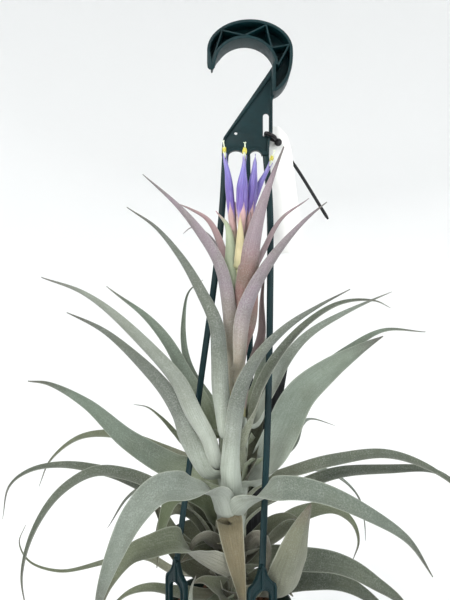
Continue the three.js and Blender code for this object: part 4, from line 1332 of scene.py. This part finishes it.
def make_backdrop():
    """A pale floor that curves up into a wall all round."""
    profile = [(FLOOR_RADIUS, FLOOR)]
    profile += [(FLOOR_RADIUS + x, z)
                for x, z in arc(0, FLOOR + WALL_BEND, WALL_BEND, WALL_BEND, -84, 0, 14)]
    profile += [(FLOOR_RADIUS + WALL_BEND, WALL_TOP)]
    points, faces, segments = [], [], 64
    for radius, z in profile:
        points += circle(0, 0, radius, z, segments)
    for row in range(len(profile) - 1):
        for step in range(segments):
            a, b = row * segments + step, row * segments + (step + 1) % segments
            faces.append((a, b, b + segments, a + segments))
    faces.append(tuple(reversed(range(segments))))
    mesh = bpy.data.meshes.new("backdrop")
    mesh.from_pydata([[c * MM for c in p] for p in points], [], faces)
    mesh.shade_smooth()
    mesh.set_sharp_from_angle(angle=math.radians(20))
    look = Look("backdrop", Base_Color=rgb(238, 239, 239), Roughness=0.9, Specular_IOR_Level=0.1)
    mesh.materials.append(look.material)
    new_object("backdrop", mesh)


def add_light(name, place, target, size, power, colour=(1, 1, 1)):
    lamp = bpy.data.lights.new(name, "AREA")
    lamp.shape = "DISK"
    lamp.size = size
    lamp.energy = power
    lamp.color = colour
    obj = new_object(name, lamp)
    obj.location = Vector(place) * MM
    obj.rotation_euler = (Vector(target) - Vector(place)).to_track_quat("-Z", "Y").to_euler()


def make_studio():
    camera = new_object("camera", bpy.data.cameras.new("camera"))
    camera.location = Vector(CAMERA_PLACE) * MM
    camera.rotation_euler = (math.radians(90), 0, 0)
    camera.data.sensor_width = SENSOR
    camera.data.lens = LENS
    camera.data.clip_start = 0.01
    bpy.context.scene.camera = camera
    make_backdrop()
    add_light("key", (-700, -1000, 700), (0, 0, -200), 0.8, 16, (1, 0.985, 0.96))
    add_light("fill", (900, -900, 100), (0, 0, -250), 1.2, 7, (0.96, 0.98, 1))
    add_light("back", (200, 1000, 900), (0, 0, -200), 1.0, 8)
    world = bpy.data.worlds.new("studio")
    world.use_nodes = True
    sky = world.node_tree.nodes["Background"]
    sky.inputs["Color"].default_value = DAYLIGHT
    sky.inputs["Strength"].default_value = 0.75
    bpy.context.scene.world = world
    bpy.context.scene.view_settings.view_transform = "Standard"


# Leaf tissue: colours of root, upper side, underside and tip, then scales, streaks and fade.
LEAF_LOOKS = {
    "leaf_green": ((157, 166, 138), (108, 121, 107), (112, 117, 106), (84, 80, 72)),
    "leaf_grey": ((184, 191, 180), (114, 123, 113), (104, 109, 103), (84, 80, 74), 0.5, 0.3),
    "leaf_olive": ((140, 138, 120), (95, 102, 78), (128, 128, 118), (70, 62, 52), 0.28, 0.5),
    # A darker copy of the green leaf tissue: painted shade for the low, arching leaves that lie in the
    # plant's own shadow.
    "leaf_painted_shade": ((132, 136, 114), (76, 84, 70), (90, 92, 80), (70, 64, 55), 0.35, 0.45),
    # A lighter copy of the grey leaf tissue: painted light for the leaves that face the key light.
    "leaf_painted_light": ((186, 193, 182), (127, 139, 126), (125, 131, 121), (84, 80, 74), 0.4, 0.3),
    # A copy of the grey leaf tissue with a darker blade and underside: painted shade for leaves whose
    # undersides face away from the light.
    "leaf_painted_deep_shade": ((178, 186, 174), (96, 106, 95), (93, 99, 91), (80, 77, 70), 0.42, 0.35),
    "old_base": ((120, 116, 98), (84, 88, 66), (112, 108, 96), (86, 78, 64), 0.25, 0.5),
    "leaf_inner": ((104, 112, 84), (84, 94, 66), (90, 96, 76), (84, 80, 62), 0.15, 0.4),
    "leaf_near": ((112, 112, 92), (108, 110, 88), (106, 108, 88), (96, 88, 74), 0.3, 0.45),
    "leaf_dry": ((138, 131, 101), (115, 105, 79), (112, 101, 77), (89, 72, 58), 0.15, 0.6),
    "bract_lilac": ((168, 158, 138), (128, 115, 124), (131, 118, 126), (98, 90, 90), 0.4, 0.3),
    "bract_clasping": ((132, 98, 93), (138, 122, 130), (140, 124, 132), (104, 94, 96),
                       0.35, 0.35, (0.44, 0.58)),
    "bract_inner": ((168, 140, 138), (152, 130, 136), (158, 136, 141), (118, 102, 106), 0.35, 0.3),
    "bract_dusky": ((152, 134, 128), (150, 132, 132), (150, 134, 132), (100, 86, 84), 0.2, 0.4),
    "bract_pink": ((172, 142, 124), (158, 130, 132), (160, 132, 134), (132, 116, 118), 0.3, 0.2),
    "bract_cream": ((166, 174, 122), (198, 186, 140), (200, 188, 146), (198, 156, 146), 0.15, 0.3),
    "calyx": ((150, 156, 130), (162, 172, 142), (162, 172, 144), (176, 136, 144), 0.2, 0.3),
    "sepal": ((176, 176, 146), (208, 170, 170), (210, 176, 172), (190, 168, 196), 0.1, 0.25),
}
# Some pieces take darker or lighter copies of the leaf tissue: painted shade and painted light for
# where they sit.
OWN_LOOKS = {  # pieces whose look isn't their slot's
    "leaf_left_inner": "leaf_inner", "leaf_right_near": "leaf_near",
    "bract_front": "bract_clasping", "bract_right_inner": "bract_inner",
    "floral_bract_left": "calyx", "leaf_right_bend": "leaf_painted_shade",
    "leaf_left_arch": "leaf_painted_shade", "leaf_left_loop": "leaf_painted_shade",
    "leaf_right_arch": "leaf_painted_shade", "leaf_right_sweep": "leaf_painted_shade",
    "leaf_right_low": "leaf_painted_shade", "leaf_right_lowest": "leaf_painted_shade",
    "leaf_right_wide": "leaf_painted_light", "leaf_left_high": "leaf_painted_light",
    "leaf_left_middle": "leaf_painted_deep_shade", "leaf_front_right": "leaf_painted_deep_shade",
    "leaf_front_up": "leaf_painted_deep_shade", "leaf_left_top": "leaf_painted_deep_shade",
}
LOOKS = {name: leaf_look(name, *tones) for name, tones in LEAF_LOOKS.items()} | {
    "petal_violet": petal_look(),
    "anther": grainy_look("anther", rgb(216, 208, 96), rgb(192, 182, 66), 900, (0.6, 0.8), 0.15),
    "style": grainy_look("style", rgb(236, 240, 222), rgb(214, 226, 190), 700, (0.4, 0.55), 0.03),
    "stem_green": grainy_look("stem", rgb(150, 150, 112), rgb(120, 104, 78), 140, (0.75, 0.9), 0.5),
    "medium_brown": bark_look(),
    "hanger_green": plastic_look("hanger_green", rgb(2, 30, 33), rgb(9, 50, 55), 0.45),
    "pot_green": plastic_look("pot_green", rgb(24, 40, 34), rgb(38, 56, 50), 0.45),
    "card_white": card_look(),
    "label_black": label_look(),
    "plastic_black": plastic_look("plastic_black", rgb(20, 20, 22), rgb(48, 48, 50), 0.35),
}

make_studio()
make_stem()
make_old_bases()
for order, (name, slot, *form) in enumerate(LEAVES):
    make_blade(name, slot, LOWEST_LEAF + order * LEAF_SPACING, *form)
for order, (name, slot, *form) in enumerate(BRACTS):
    waist = BRACT_WAISTS.get(name, 0)
    make_blade(name, slot, LOWEST_BRACT + order * BRACT_SPACING, *form, BRACT_THICK, waist)
for row in FLOWERS:
    make_flower(*row)
make_hook()
for side in EYE_BEARINGS:
    make_strand(side)
make_pot()
make_medium()
make_label()
make_tag()
make_pin()
